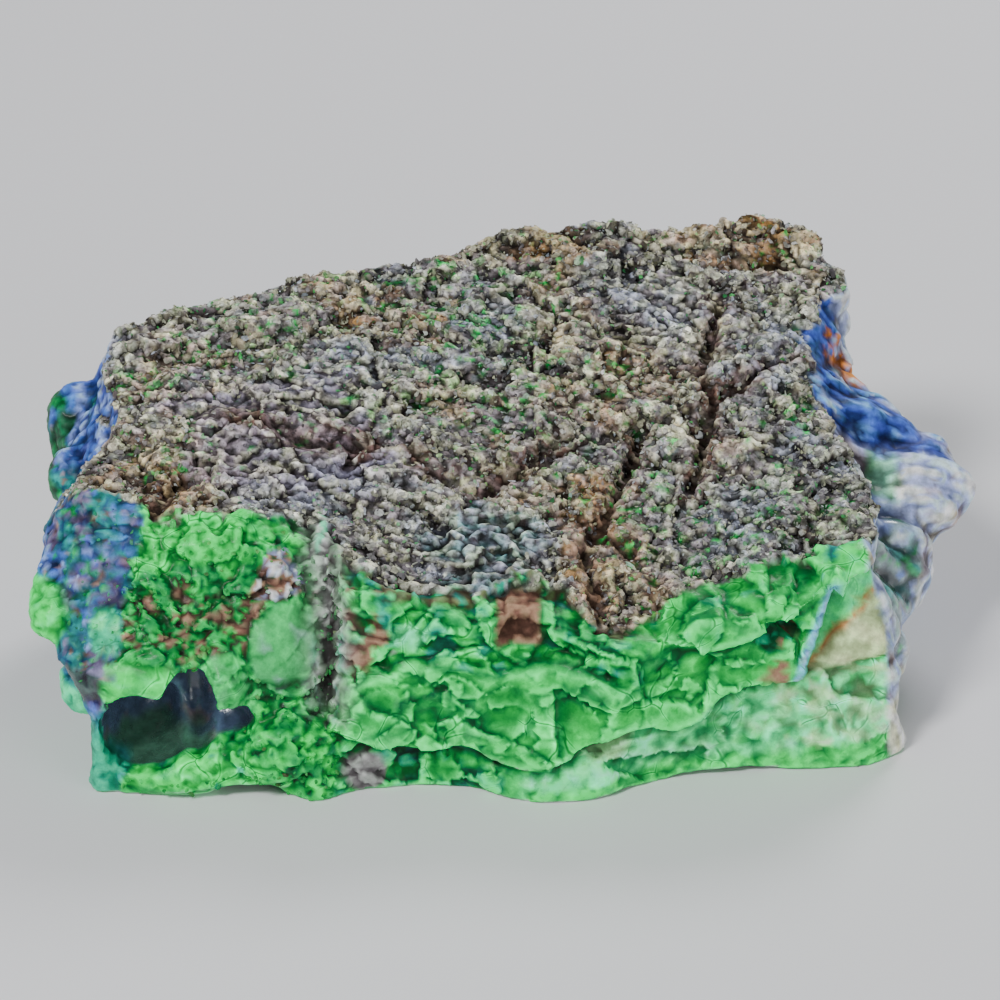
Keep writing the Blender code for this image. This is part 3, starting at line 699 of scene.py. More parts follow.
@dataclass(frozen=True)
class Patch:
    """A patch of colour: where it is, how far it reaches, and how ragged its edge is."""

    centre: Point
    radii: Point
    ragged: float = 0.5
    scale: float = 1.6

    def mask(self, x: Array, y: Array, z: Array, seed: int) -> Array:
        """Return how much of the patch covers each point, from 0 to 1."""
        away = np.sqrt(sum(((a - c) / r) ** 2 for a, c, r in zip((x, y, z), self.centre, self.radii)))
        away = away + self.ragged * lumpy(x, y, z, self.scale, seed)
        return past(1.0 - away, 0.22)


@dataclass
class StoneSkin:
    """The stone's fine surface: its mesh, its small relief and the colour of every point."""

    shape: StoneShape = field(default_factory=StoneShape)
    colours: Palette = field(default_factory=Palette)
    step: float = 0.44
    coarse_step: float = 1.5
    band: float = 1.1
    triangles: int = 197000
    side_room: float = 0.15

    def sampled(self) -> Array:
        """Sample the stone's field: finely close to its surface and coarsely elsewhere."""
        low, high = self.shape.box_low, self.shape.box_high
        coarse = [np.arange(a, b + self.coarse_step, self.coarse_step) for a, b in zip(low, high)]
        fine = [np.arange(a, axis[-1], self.step) for a, axis in zip(low, coarse)]
        grid = self.shape.stone(*np.meshgrid(*coarse, indexing="ij"))
        for axis in range(3):
            grid = stretched(grid, axis, coarse[axis], fine[axis])
        near = np.abs(grid) < self.band
        where = np.argwhere(near)
        grid[near] = self.shape.stone(*(fine[axis][where[:, axis]] for axis in range(3)))
        return without_pinches(grid)

    def zones(self, x: Array, y: Array, z: Array, down: Array) -> dict[str, Array]:
        """Say how far each point belongs to each zone of the stone.

        Args:
            x: each point's place along the front.
            y: each point's place from front to back.
            z: each point's height.
            down: how far the surface faces down there, from -1 to 1.

        Returns:
            Zone name to a mask from 0 to 1.
        """
        shape = self.shape
        wander = lumpy(x, y, z, 2.4, 101)
        small = lumpy(x, y, z, 1.1, 102)
        top_x = x + shape.drift(x, y, z)[0]
        depth = shape.crust_top(top_x, y) - shape.crack_cut(x, y) - z + 0.55 * wander + 0.35 * small
        behind = y - shape.front_wall(x, z)
        from_left, from_right = x - shape.left_end(y, z), shape.right_end(y, z) - x
        from_back = shape.back_wall(x, z) - y
        inner = eased((behind - 3.0) / 1.5) * eased((from_left - 4.5) / 1.5) * eased((from_right - 3.5) / 1.5)
        inner = inner * eased((from_back - 4.5) / 1.5) * eased((8.0 - depth) / 2.0)
        level = eased((-0.55 - down) / 0.2) * eased((behind - 2.0) / 1.5) * eased((from_right - 2.5) / 1.5)
        crust = np.maximum(eased((1.5 - depth) / 0.7), np.maximum(inner, level * eased((6.0 - depth) / 2.0)))
        margin = through(shape.crust_margin, x) + 1.3 * wander + 0.9 * small
        crust = crust * eased((0.55 - down) / 0.3) * past(behind - margin, 0.8)
        broad = lumpy(x, y, z, 6.5, 103)
        left = eased((2.6 - from_left + 0.9 * wander + 1.8 * broad) / 1.2)
        left = np.maximum(left, eased((-56.0 - x) / 2.0))
        right = eased(2.0 - from_right + 0.5 * wander)
        right = np.maximum(right, eased((x - 53.5) / 1.5)) * eased((x - 40.0) / 3.0)
        back = eased((3.6 - from_back + wander + 1.6 * broad) / 1.4) * (1.0 - right)
        under = eased((down - 0.45) / 0.3) * eased((7.0 - z) / 2.0)
        rest = 1.0 - crust
        hollow = self.hollow_share(x, y, z) * rest
        rest_ends = rest * (1.0 - left) * (1.0 - right)
        front = np.maximum(rest_ends * (1.0 - back) * (1.0 - under), hollow)
        fin_x = shape.fin[0] + shape.fin[2] * (z - shape.fin[1])
        over_plate = past(z + 0.5 * small - through(shape.plate_edge, x), 0.5)
        over_band = past(z + 0.8 * wander - through(shape.band_edge, x), 1.2)
        over_wedge = past(z + 0.3 * wander - through(shape.wedge_edge, x), 0.6) * eased((x - 16.0) / 3.0)
        past_fin = past(x - fin_x, 0.7) * (1.0 - over_wedge)
        past_fin = past_fin * past(z - 12.8 - 0.12 * (x - 38.0) + 0.4 * wander, 0.8)
        past_seam = eased((x + 21.5 + 0.8 * wander) / 1.6)
        seam_x = np.interp(z, *zip(*shape.seam))
        seam = line(x - seam_x + 0.6 * wander, 2.3) * eased((z - 9.0) / 5.0)
        band_share = over_band * eased((21.0 - x) / 5.0)
        foot = past_seam * (1.0 - over_plate)
        return {
            "crust": crust,
            "left": rest * left * (1.0 - hollow),
            "right": rest * right,
            "back": rest_ends * back,
            "under": rest * under,
            "hollow": hollow,
            "front": front,
            "block": front * (1.0 - past_seam),
            "bright": front * past_seam * over_plate * (1.0 - past_fin) * (1.0 - band_share),
            "band": front * past_seam * band_share,
            "wedge": front * over_wedge,
            "pale": front * foot * (1.0 - past_fin) * eased((x - 1.0 + 3.0 * wander) / 4.0),
            "low": front * foot * eased((3.0 - x + 3.0 * wander) / 4.0),
            "facets": front * past_fin,
            "seam": seam * front,
            "fin": front * line(x - fin_x, 0.52) * eased((z - 13.0) / 1.5) * eased((27.5 - z) / 2.0),
        }

    @staticmethod
    def front_shells(x: Array, z: Array) -> tuple[tuple[Array, Array, Array], tuple[Array, Array, Array]]:
        """Return the broad and the narrow shells in which the front broke, seen straight on."""
        bent = 1.6 * lumpy(x, 0.0, z, 6.0, 105)
        warp = 0.7 * lumpy(x, 0.0, z, 2.2, 106)
        broad = shells(0.55 * x + bent, 0.0 * x, z + 0.12 * x - 0.6 * bent + 0.4 * warp, 7.4, 107)
        narrow = shells(0.6 * x + warp, 0.0 * x, z + 0.1 * x + bent + warp, 2.9, 108)
        return broad, narrow

    @staticmethod
    def crust_shells(x: Array, y: Array) -> tuple[tuple[Array, Array, Array], tuple[Array, Array, Array]]:
        """Return the plates and the scales of the crust, seen from above."""
        bent = 1.8 * lumpy(x, y, 0.0, 7.0, 115)
        warp = 0.8 * lumpy(x, y, 0.0, 2.4, 116)
        plates = shells(0.62 * x + bent, y + 0.15 * x - bent + warp, 0.0 * x, 5.0, 117)
        scales = shells(0.62 * x + warp, y + bent - warp, 0.0 * x, 1.9, 119)
        return plates, scales

    def relief(self, x: Array, y: Array, z: Array, down: Array) -> Array:
        """Return how far each point is moved out, in millimetres, to carve the small forms of its zone."""
        zone = self.zones(x, y, z, down)
        wide = lumpy(x, y, z, 3.4, 111)
        fine = lumpy(x, y, z, 1.25, 112)
        grit = lumpy(x, y, z, 0.8, 113)
        pillows = 0.3 - scallops(x, y, z, 2.5, 114)
        crumbs = 0.3 - scallops(x, y, z, 1.35, 118)
        bowls = scallops(x, 0.6 * y, 1.2 * z, 4.6, 122) - 0.3
        layers = lumpy(0.3 * x + 0.4 * wide, 0.4 * y, z + 0.12 * x + 0.5 * wide, 0.95, 131)
        grooves = lumpy(0.35 * x, y + 0.35 * z + 0.8 * wide, 0.3 * z, 1.0, 132)
        fold = self.fold(x, y, z)
        (broad, _, _), (narrow, _, _) = self.front_shells(x, z)
        (plate, _, _), (scale, _, _) = self.crust_shells(x, y)
        out = zone["crust"] * (0.5 * plate + 0.46 * scale - 0.45 * crumbs + 0.2 * wide + 0.3 * grit)
        lumps = 0.5 * narrow + 0.6 * pillows + 0.45 * crumbs + 0.35 * wide + 0.15 * grit
        lumps = lumps * (1.0 - 0.7 * self.corner_share(x, z))
        out = out - zone["crust"] * self.shape.crack_cut(x, y)
        out = out + zone["block"] * lumps * (1.0 - 0.9 * self.smooth(x, y, z))
        for name, form in (
            ("bright", 0.52 * broad + 0.16 * narrow + 0.2 * bowls),
            ("band", 0.35 * broad + 0.3 * narrow + 0.4 * layers + 0.3 * crumbs),
            ("wedge", 0.35 * broad + 0.25 * narrow + 0.2 * layers + 0.2 * crumbs),
            ("pale", 0.2 * broad + 0.2 * wide + 0.2 * pillows + 0.14 * fine),
            ("low", 0.4 * broad + 0.25 * narrow + 0.25 * pillows + 0.2 * fine),
            ("facets", 0.16 * wide + 0.08 * layers),
            ("seam", 0.55 * grooves + 0.25 * crumbs),
            ("fin", 0.7),
            ("left", 0.14 * grooves + 0.45 * pillows + 0.35 * crumbs + 0.4 * bowls + 0.2 * fine),
            ("right", 0.25 * grooves + 0.3 * wide + 0.15 * fine + 0.7 * (fold - 0.7)),
            ("back", 0.45 * broad + 0.2 * layers + 0.3 * crumbs + 0.3 * wide + 0.3 * bowls),
            ("under", 0.3 * wide + 0.25 * crumbs),
        ):
            out = out + zone[name] * form
        out = out * (1.0 - 0.9 * zone["hollow"])
        return out * np.maximum(eased((z - 0.2) / 1.2), 0.8 * eased((0.45 - down) / 0.3))

    @staticmethod
    def fold(x: Array, y: Array, z: Array) -> Array:
        """Return how full the waxy folds of the right end are: nought in a crease, up to one on a crown."""
        bent, bent_up = 1.5 * lumpy(x, y, z, 4.0, 246), 1.5 * lumpy(x, y, z, 4.0, 247)
        across, up = 0.42 * y + 0.3 * z + bent_up, 0.75 * z - 0.3 * y + bent
        return 1.0 - scallops(0.5 * x + bent, across, up, 4.2, 248)

    @staticmethod
    def smooth(x: Array, y: Array, z: Array) -> Array:
        """Return where the left block is smooth: its panel, the plate over the hollow and the lip."""
        panel = Patch((-28.4, -38, 19.6), (5, 9, 6), 0.2).mask(x, y, z, 141)
        plate = Patch((-36.2, -40, 15.2), (3.8, 8, 5), 0.2).mask(x, y, z, 142)
        lip = Patch((-47, -43, 16.4), (7, 8, 3.2), 0.2).mask(x, y, z, 143)
        sill = Patch((-43, -42, 3.4), (13, 9, 4.6), 0.2).mask(x, y, z, 144)
        return np.maximum(np.maximum(panel, 0.5 * sill), np.maximum(0.8 * plate, lip))

    @staticmethod
    def corner_share(x: Array, z: Array) -> Array:
        """Return how far each point of the block lies in its blue and purple corner on the left."""
        ragged = 1.5 * lumpy(x, 0.0, z, 3.2, 146) + 0.9 * lumpy(x, 0.0, z, 1.2, 147)
        return eased((-48.4 - x + 0.14 * (z - 26.0) + ragged) / 0.8) * eased((z - 16.5) / 1.0)

    def build(self) -> bpy.types.Object:
        """Build the stone's fine mesh with the masks and colours of its points.

        Returns:
            The stone's object, in the frame's place and inside the solid's box.
        """
        points, faces = net_over(self.sampled(), self.shape.box_low, self.step)
        mesh = bpy.data.meshes.new("chalcedony_stone")
        mesh.from_pydata(points.tolist(), [], faces.tolist())
        normals = read(mesh.vertex_normals, "vector", 3)
        points = points + normals * self.relief(*points.T, -normals[:, 2])[:, None]
        points[:, 2] = np.maximum(points[:, 2], 0.0)
        mesh.vertices.foreach_set("co", points.ravel())
        stone = in_scene("chalcedony_stone", mesh)
        stone.modifiers.new("triangles", "TRIANGULATE")
        fewer = stone.modifiers.new("fewer", "DECIMATE")
        fewer.ratio = self.triangles / (2 * len(faces))
        ready = made_plain(stone)
        self.paint(ready)
        self.fit(ready)
        ready.shade_smooth()
        return stone

    def fit(self, mesh: bpy.types.Mesh) -> None:
        """Put the mesh in the frame's place, in metres, and inside the solid's box with a little room."""
        points = read(mesh.vertices, "co", 3)
        points[:, 0] -= self.shape.box_centre[0]
        points[:, 1] -= self.shape.box_centre[1]
        low, high = (np.array(corner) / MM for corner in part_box(NODE))
        low[:2] += self.side_room
        high -= self.side_room
        was_low, was_high = points.min(axis=0), points.max(axis=0)
        points = low + (points - was_low) * (high - low) / (was_high - was_low)
        mesh.vertices.foreach_set("co", (points * MM).ravel())
        mesh.update()

    def paint(self, mesh: bpy.types.Mesh) -> None:
        """Work out each point's colour, lustre and glow, with painted shade and highlights, and keep them as
        the mesh's attributes.
        """
        points = read(mesh.vertices, "co", 3)
        normals = read(mesh.vertex_normals, "vector", 3)
        x, y, z = points.T
        zone = self.zones(x, y, z, -normals[:, 2])
        coat = Coat(len(points))
        self.paint_front(coat, zone, x, y, z)
        self.paint_ends(coat, zone, x, y, z)
        self.paint_back(coat, zone, x, y, z)
        self.paint_crust(coat, zone, x, y, z)

        # Painted shade and highlight: the colour is darkened in small and broad hollows and lightened and
        # greened on ridges, and the glow is dimmed in the painted shade.
        bend = bending(mesh, points, normals)
        hollow = np.clip(bend[0] / 0.09, 0.0, 1.0)
        ridge_highlight = np.clip(-bend[0] / 0.10, 0.0, 1.0)
        deep = np.clip(bend[1] / 0.32, 0.0, 1.0)
        # keep: how much of this painted shade and highlight each zone takes, less in the glassy hollow, the
        # bright zone and the facets.
        keep = (1.0 - 0.6 * zone["hollow"]) * (1.0 - 0.45 * zone["bright"]) * (1.0 - 0.5 * zone["facets"])
        shade = (1.0 - 0.5 * hollow * keep) * (1.0 - 0.42 * deep * keep)
        coat.colour *= (shade * (1.0 + 0.8 * ridge_highlight * keep))[:, None]
        coat.colour += (0.05 * ridge_highlight * keep * (1.0 - zone["crust"]))[:, None] * np.array([0.1, 1.0, 0.3])
        coat.colour = np.clip(coat.colour, 0.0, 0.85)
        coat.glow *= 0.4 + 0.6 * shade

        bare = 0.7 * Patch((-30, -9, 36), (15, 11, 12), 0.6, 4.0).mask(x, y, z, 265)
        bare = np.maximum(bare, 0.8 * Patch((-1.5, -27, 30), (8, 8, 10), 0.5, 3.0).mask(x, y, z, 266))
        bare = np.maximum(bare, 0.6 * eased(1.6 * lumpy(x, y, 0.0, 6.0, 281) - 0.3))
        for route, half_width, _ in self.shape.cracks:
            bare = np.maximum(bare, 0.8 * line(gap_to_route(x, y, route), 0.8 * half_width))
        cover = zone["crust"] * (1.0 - 0.35 * deep) * (1.0 - bare)
        store_colour(mesh, "tint", coat.colour)
        block = zone["block"] * (1.0 - self.smooth(x, y, z)) * (1.0 - zone["hollow"])
        for name, values in (
            ("rough", coat.rough), ("gloss", coat.gloss), ("glow", coat.glow), ("crust", zone["crust"]),
            ("cover", cover), ("block", block),
        ):
            store_number(mesh, name, values)

    def paint_front(self, coat: Coat, zone: dict[str, Array], x: Array, y: Array, z: Array) -> None:
        """Lay the colours of the broken front face."""
        self.paint_block(coat, zone["block"], x, y, z)
        c, lay = self.colours, coat.lay
        wide = lumpy(x, y, z, 5.0, 201)
        mid = lumpy(x, y, z, 2.2, 202)
        fine = lumpy(x, y, z, 1.0, 203)
        speck = lumpy(x, y, z, 0.75, 204)
        streak = lumpy(0.3 * x + 0.3 * mid, 0.4 * y, z + 0.15 * x + 0.5 * mid, 0.8, 205)
        (level, beyond, gap), (level_two, beyond_two, gap_two) = self.front_shells(x, z)
        step = eased((np.abs(level - beyond) - 0.15) / 0.3)
        step_two = eased((np.abs(level_two - beyond_two) - 0.3) / 0.3)
        # Painted highlight along the raised lip of each shell step, and painted shade in a line on the lower
        # side of the step.
        high = line(gap, 0.36) * step * (level > beyond)
        high = np.maximum(high, 0.8 * line(gap_two, 0.26) * step_two * (level_two > beyond_two))
        under_step_shade = line(gap, 0.42) * step * (level < beyond)
        under_step_shade = np.maximum(under_step_shade, 0.8 * line(gap_two, 0.3) * step_two * (level_two < beyond_two))

        bright = zone["bright"]
        lay(bright, c.vivid, 1.55, Lustre.WAXY)
        lay(bright * eased(0.3 + 1.4 * level) * 0.5, c.fresh, 1.1)
        lay(bright * eased(0.1 + 1.2 * level_two + 0.5 * fine) * 0.3, c.leaf, 0.9)
        lay(bright * over(mid - wide - 1.0, 2.5) * 0.5, c.leaf, 0.45)
        for number, spot in enumerate((
            Patch((-8, -40, 13.2), (4.8, 9, 1.7), 0.5, 1.2), Patch((-3.4, -40, 9.6), (2.2, 9, 3.2), 0.5, 1.2),
            Patch((11, -40, 14.6), (3.6, 9, 1.4), 0.5, 1.2), Patch((20, -40, 18.6), (6, 9, 1.6), 0.6, 1.2),
            Patch((-15, -40, 9), (4, 9, 1), 0.5, 1.2),
        )):
            spotted = spot.mask(x, y, z, 212 + number) * bright
            lay(spotted * 0.85, c.leaf, 0.3, Lustre.SATIN)
            lay(spotted * over(speck, 3.0) * 0.8, c.olive, 0.2)
            lay(spotted * over(fine - speck - 0.2, 3.5), c.deep, 0.1)
        for centre, radius in (((1.0, -40.0, 12.4), 2.9), ((-9.6, -40.0, 9.4), 3.2)):
            ring = np.hypot((x - centre[0]) / 1.25, z - centre[2]) - radius
            lay(bright * line(ring, 0.45) * 0.7, c.pale_green, 0.9)
            lay(bright * line(ring + 1.4, 0.6) * 0.35, c.leaf, 0.6)
        # Painted highlight on the lips of the shell steps and painted shade below them.
        lay(bright * high * 0.9, c.pale_green, 1.0)
        lay(bright * under_step_shade * 0.8, c.deep, 0.3)
        # Painted shade: the recess under the wedge is laid dark green, with red-brown and sea-green spots in
        # it.
        shaded_recess = bright * Patch((35.6, -35, 20.6), (3.6, 9, 2.2), 0.5, 1.2).mask(x, y, z, 217)
        lay(shaded_recess, c.deep, 0.1, Lustre.SATIN)
        lay(shaded_recess * over(fine - 0.1, 3.0), c.red_brown)
        lay(shaded_recess * over(speck - fine - 0.4, 3.0), c.sea, 0.3)
        fin_foot = Patch((36.4, -38, 14.4), (1.7, 9, 2.2), 0.4, 1.2).mask(x, y, z, 218)
        lay(bright * fin_foot, c.red_brown, 0.0, Lustre.SATIN)

        band = zone["band"]
        lay(band, c.leaf, 0.3, Lustre.SATIN)
        lay(band * over(streak + 0.5 * level + 0.1, 2.4), c.fresh, 0.7)
        lay(band * over(streak - level_two - 0.4, 2.4), c.vivid, 0.9)
        lay(band * over(mid - 0.5 * fine - 0.2, 3.0) * 0.7, c.teal, 0.25)
        lay(band * over(-streak + 0.6 * fine - 0.55, 3.5), c.deep, 0.1)
        # Painted highlight on the lips of the shell steps and painted shade below them.
        lay(band * high * 0.8, c.pale_green, 0.8)
        lay(band * under_step_shade * 0.8, c.deep, 0.1)
        lay(band * over(wide + 0.8 * fine - 0.85, 3.0) * 0.85, c.grey_brown, 0.0, Lustre.DULL)
        cloud = Patch((-12, -38, 22), (2.8, 9, 1.6), 0.3).mask(x, y, z, 222)
        lay(band * cloud * 0.8, c.mint, 0.4, Lustre.WAXY)
        on_top = eased((y - self.shape.front_wall(x, z) - 1.6 + mid) / 1.6)
        lay(band * on_top * over(fine + 0.6 * mid - 0.1, 3.0) * 0.8, c.brown, 0.0, Lustre.DULL)
        lay(band * on_top * over(speck - fine - 0.3, 3.0) * 0.7, c.teal, 0.2)
        rusty = Patch((-19, -40, 22.5), (3.6, 9, 5), 0.7).mask(x, y, z, 221)
        lay(band * rusty * over(mid + 0.5 * fine, 2.5), c.red_brown, 0.0, Lustre.DULL)
        step_face = np.maximum(np.abs(x - 2.4 + 0.3 * fine) / 2.9, np.abs(z - 23.0 + 0.3 * fine) / 2.5)
        lay(band * past(1.0 - step_face, 0.16), c.red_brown, 0.0, Lustre.DULL)
        lay(band * past(1.0 - step_face, 0.16) * over(speck, 2.5) * 0.5, c.brown)
        lay(band * line(step_face - 1.05, 0.1) * 0.7, c.deep)

        wedge = zone["wedge"]
        lay(wedge, c.vivid, 0.85, Lustre.WAXY)
        lay(wedge * over(streak + 0.4 * fine - 0.2, 2.4) * 0.6, c.leaf, 0.6)
        lay(wedge * over(streak - mid - 0.6, 2.4) * 0.7, c.sea, 0.6)
        # Painted highlight on the lips of the shell steps and painted shade below them.
        lay(wedge * high * 0.7, c.pale_green, 0.8)
        lay(wedge * under_step_shade * 0.8, c.deep, 0.2)
        lay(wedge * over(mid - 0.3, 3.0) * eased((x - 40.0) / 4.0), c.teal, 0.2)

        low = zone["low"]
        lay(low, c.fresh, 0.6, Lustre.WAXY)
        lay(low * over(mid + 0.4 * fine - 0.1, 2.6), c.teal, 0.12)
        lay(low * over(fine - 0.3, 3.0) * 0.7, c.sea, 0.4)
        # Painted highlight on the lips of the shell steps and painted shade below them.
        lay(low * high * 0.7, c.pale_green, 0.6)
        lay(low * under_step_shade, c.deep, 0.1)
        block_foot = Patch((-18, -42, 3.4), (3, 8, 3), 0.25, 2.0).mask(x, y, z, 220)
        lay(low * block_foot, c.grey_brown, 0.0, Lustre.DULL)
        lay(low * block_foot * over(fine - 0.2, 3.0) * 0.7, c.taupe)

        pale = zone["pale"]
        lay(pale, c.sea, 0.6, Lustre.WAXY)
        lay(pale * (0.86 + 0.14 * over(mid + 0.7 * fine + 0.3, 2.0)), c.mint, 0.9)
        lay(pale * over(mid + 0.6 * fine - 0.3, 2.4) * 0.6, c.cream, 0.5)
        lay(pale * over(fine + speck - 0.35, 3.8) * 0.6, c.vivid, 0.7)
        lay(pale * over(speck - mid - 0.8, 4.0) * 0.7, c.leaf, 0.4)
        beige = Patch((14, -40, 9.6), (3.6, 9, 4), 0.5, 2.0).mask(x, y, z, 223)
        lay(pale * beige * 0.6, c.beige, 0.1)
        veil = Patch((9.4, -40, 12), (3.4, 9, 1.6), 0.3, 2.0).mask(x, y, z, 224)
        lay(pale * veil * 0.5, c.sky, 0.05)
        right_part = pale * eased((x - 33.0 + 3.0 * mid) / 9.0)
        lay(right_part * over(streak + 0.5 * fine + 0.2, 2.0) * 0.6, c.beige, 0.15)
        # Painted highlight on the lips of the shell steps and painted shade below them.
        lay(pale * high * 0.5, c.cream, 0.4)
        lay(pale * under_step_shade * 0.5, c.leaf, 0.2)
        rim = eased((3.2 - z + 0.9 * mid + 0.03 * (x - 20.0)) / 1.2)
        lay((pale + zone["facets"]) * rim * 0.9, c.vivid, 0.8)
        lay((pale + zone["facets"]) * rim * over(fine + speck - 0.2, 3.0) * 0.8, c.leaf, 0.3)

        facets = zone["facets"] * (1.0 - rim)
        lay(facets, c.beige, 0.1, Lustre.SATIN)
        lay(facets * eased((13.5 - z + 1.0 * mid) / 4.0) * 0.85, c.mint, 0.3)
        lay(facets * eased((13.5 - z + 1.0 * mid) / 4.0) * over(fine + streak, 2.0) * 0.5, c.beige, 0.1)
        lay(facets * over(streak - 0.05, 2.4) * eased((z - 11.0) / 3.0) * 0.5, c.sand, 0.05)
        split = z - 13.6 - 0.93 * (x - 39.5)
        upper = past(split + 0.6 * mid, 0.8)
        lay(facets * upper, c.mint, 0.4, Lustre.WAXY)
        lay(facets * upper * over(streak + fine, 2.0) * 0.5, c.pale_green, 0.5)
        lay(facets * line(split + 0.6 * mid + 0.4, 0.55) * 0.85, c.orange)
        dotted = line(z - 12.8 - 0.12 * (x - 38.0) + 0.5 * mid, 0.7) * over(fine + 0.1, 3.0)
        dotted = dotted * eased((46.0 - x) / 3.0)
        lay(zone["facets"] * dotted, c.deep, 0.1)

        # Painted highlight along the upper lip of the plate edge and painted shade in the undercut just below
        # it.
        edge = z + 0.5 * lumpy(x, y, z, 1.1, 102) - through(self.shape.plate_edge, x)
        rim_line = (zone["bright"] + zone["pale"] + zone["low"]) * eased((37.0 - x) / 2.0)
        lay(rim_line * line(edge - 0.5, 0.45) * 0.75, c.pale_green, 0.9)
        lay(rim_line * line(edge + 0.55, 0.5) * 0.8, c.deep, 0.05)
        # Painted highlight along the lip of the wedge's edge and painted shade just below it.
        edge = z + 0.3 * lumpy(x, y, z, 2.4, 101) - through(self.shape.wedge_edge, x)
        ledge = (zone["bright"] + zone["wedge"]) * eased((x - 20.0) / 3.0)
        lay(ledge * line(edge - 0.5, 0.5) * 0.8, c.pale_green, 0.8)
        lay(ledge * line(edge + 0.7, 0.6) * 0.85, c.deep, 0.05)
        # Painted shade along the step at the band's edge, and a painted highlight on the bright face just
        # below it.
        edge = z + 0.8 * lumpy(x, y, z, 2.4, 101) - through(self.shape.band_edge, x)
        lay((zone["bright"] + band) * line(edge + 0.2, 0.5) * eased((17.0 - x) / 3.0) * 0.75, c.deep, 0.1)
        lay(bright * line(edge + 1.1, 0.5) * eased((17.0 - x) / 3.0) * 0.7, c.pale_green, 0.9)

        seam = zone["seam"]
        rib = lumpy(2.0 * x + 1.2 * mid, 0.0 * y, 0.25 * z, 1.6, 225)
        lay(seam * 0.95, c.taupe, 0.0, Lustre.SATIN)
        lay(seam * over(rib + 0.2 * fine, 2.5) * 0.85, c.dark_brown)
        lay(seam * over(-rib + 0.4 * fine - 0.2, 3.0) * eased((24.0 - z) / 4.0) * 0.8, c.smoke, 0.1)
        lay(seam * over(-rib + 0.5 * speck - 0.5, 3.0) * 0.8, c.sea, 0.2)
        lay(zone["fin"], c.sky, 0.1, Lustre.WAXY)
        lay(zone["fin"] * over(fine - 0.2, 3.0) * 0.5, c.white)
        fin_x = self.shape.fin[0] + self.shape.fin[2] * (z - self.shape.fin[1])
        # Painted shadow: a dark slate line on the facets just right of the fin.
        lay(zone["facets"] * line(x - fin_x - 0.9, 0.35) * eased((z - 13.0) / 2.0) * 0.7, c.slate)

    def paint_block(self, coat: Coat, block: Array, x: Array, y: Array, z: Array) -> None:
        """Lay the colours of the nodular block on the left of the front, with its hollow."""
        c, lay = self.colours, coat.lay
        mid = lumpy(x, y, z, 2.2, 302)
        fine = lumpy(x, y, z, 1.0, 303)
        speck = lumpy(x, y, z, 0.75, 304)
        lay(np.ones_like(x), c.fresh, 0.5, Lustre.WAXY)
        lay(block, c.fresh, 0.55, Lustre.WAXY)
        lay(block * over(mid + 0.6 * fine, 1.8), c.vivid, 0.8)
        lay(block * over(-mid + 0.6 * fine - 0.1, 2.2), c.leaf, 0.35)
        lay(block * over(speck + 0.4 * fine - 0.3, 3.5), c.deep, 0.1)
        murk = block * Patch((-37, -38, 22.5), (13, 12, 5), 0.8, 3.0).mask(x, y, z, 206)
        lay(murk * over(fine + 0.3, 2.0) * 0.7, c.leaf, 0.2)
        lay(murk * over(fine + 0.8 * mid - 0.15, 3.5), c.brown, 0.0, Lustre.SATIN)
        lay(murk * over(fine + 0.8 * mid - 0.55, 3.0), c.red_brown)
        lay(murk * over(-fine - speck - 0.5, 3.5), c.dark_brown)
        top_glow = block * (eased((z - 27.5 + 1.6 * mid) / 1.5) * eased((-31.0 - x) / 4.0))
        lay(top_glow * 0.85, c.vivid, 0.9)
        lay(top_glow * over(fine - 0.3, 2.6) * 0.6, c.fresh, 0.7)
        centre, radii = (-28.4, 19.4), (4.9, 6.3)
        across = (x - centre[0] - 0.12 * (z - centre[1])) / radii[0]
        gap = np.sqrt(across ** 2 + ((z - centre[1]) / radii[1]) ** 2)
        gap = gap - 1.0 + 0.07 * mid
        panel = block * past(-gap, 0.05)
        lay(panel, c.olive, 0.3, Lustre.WAXY)
        lay(panel * eased(0.3 + 0.10 * (z - 18.0) + 0.4 * mid) * 0.3, c.pale_green, 0.3)
        lay(panel * eased((13.5 - z) / 3.0), c.fresh, 0.5)
        lay(panel * over(fine - mid - 0.5, 2.5) * 0.35, c.violet_grey)
        # A dark line along the raised panel's rim, and a painted highlight just inside it.
        lay(block * line(gap, 0.05) * 0.8, c.deep, 0.1)
        lay(block * line(gap + 0.09, 0.05) * 0.5, c.pale_green, 0.4)
        plate_gap = np.hypot((x + 36.0) / 4.2, (z - 14.6) / 5.4) - 1.0 + 0.09 * mid
        plate = block * past(-plate_gap, 0.06)
        crease = np.abs(lumpy(x + 0.6 * z, 0.0 * y, z - 0.5 * x, 2.2, 226))
        lay(plate, c.olive, 0.45, Lustre.WAXY)
        lay(plate * over(fine + 0.4, 1.6) * 0.6, c.fresh, 0.5)
        lay(plate * line(crease, 0.07) * 0.8, c.pale_green, 0.6)
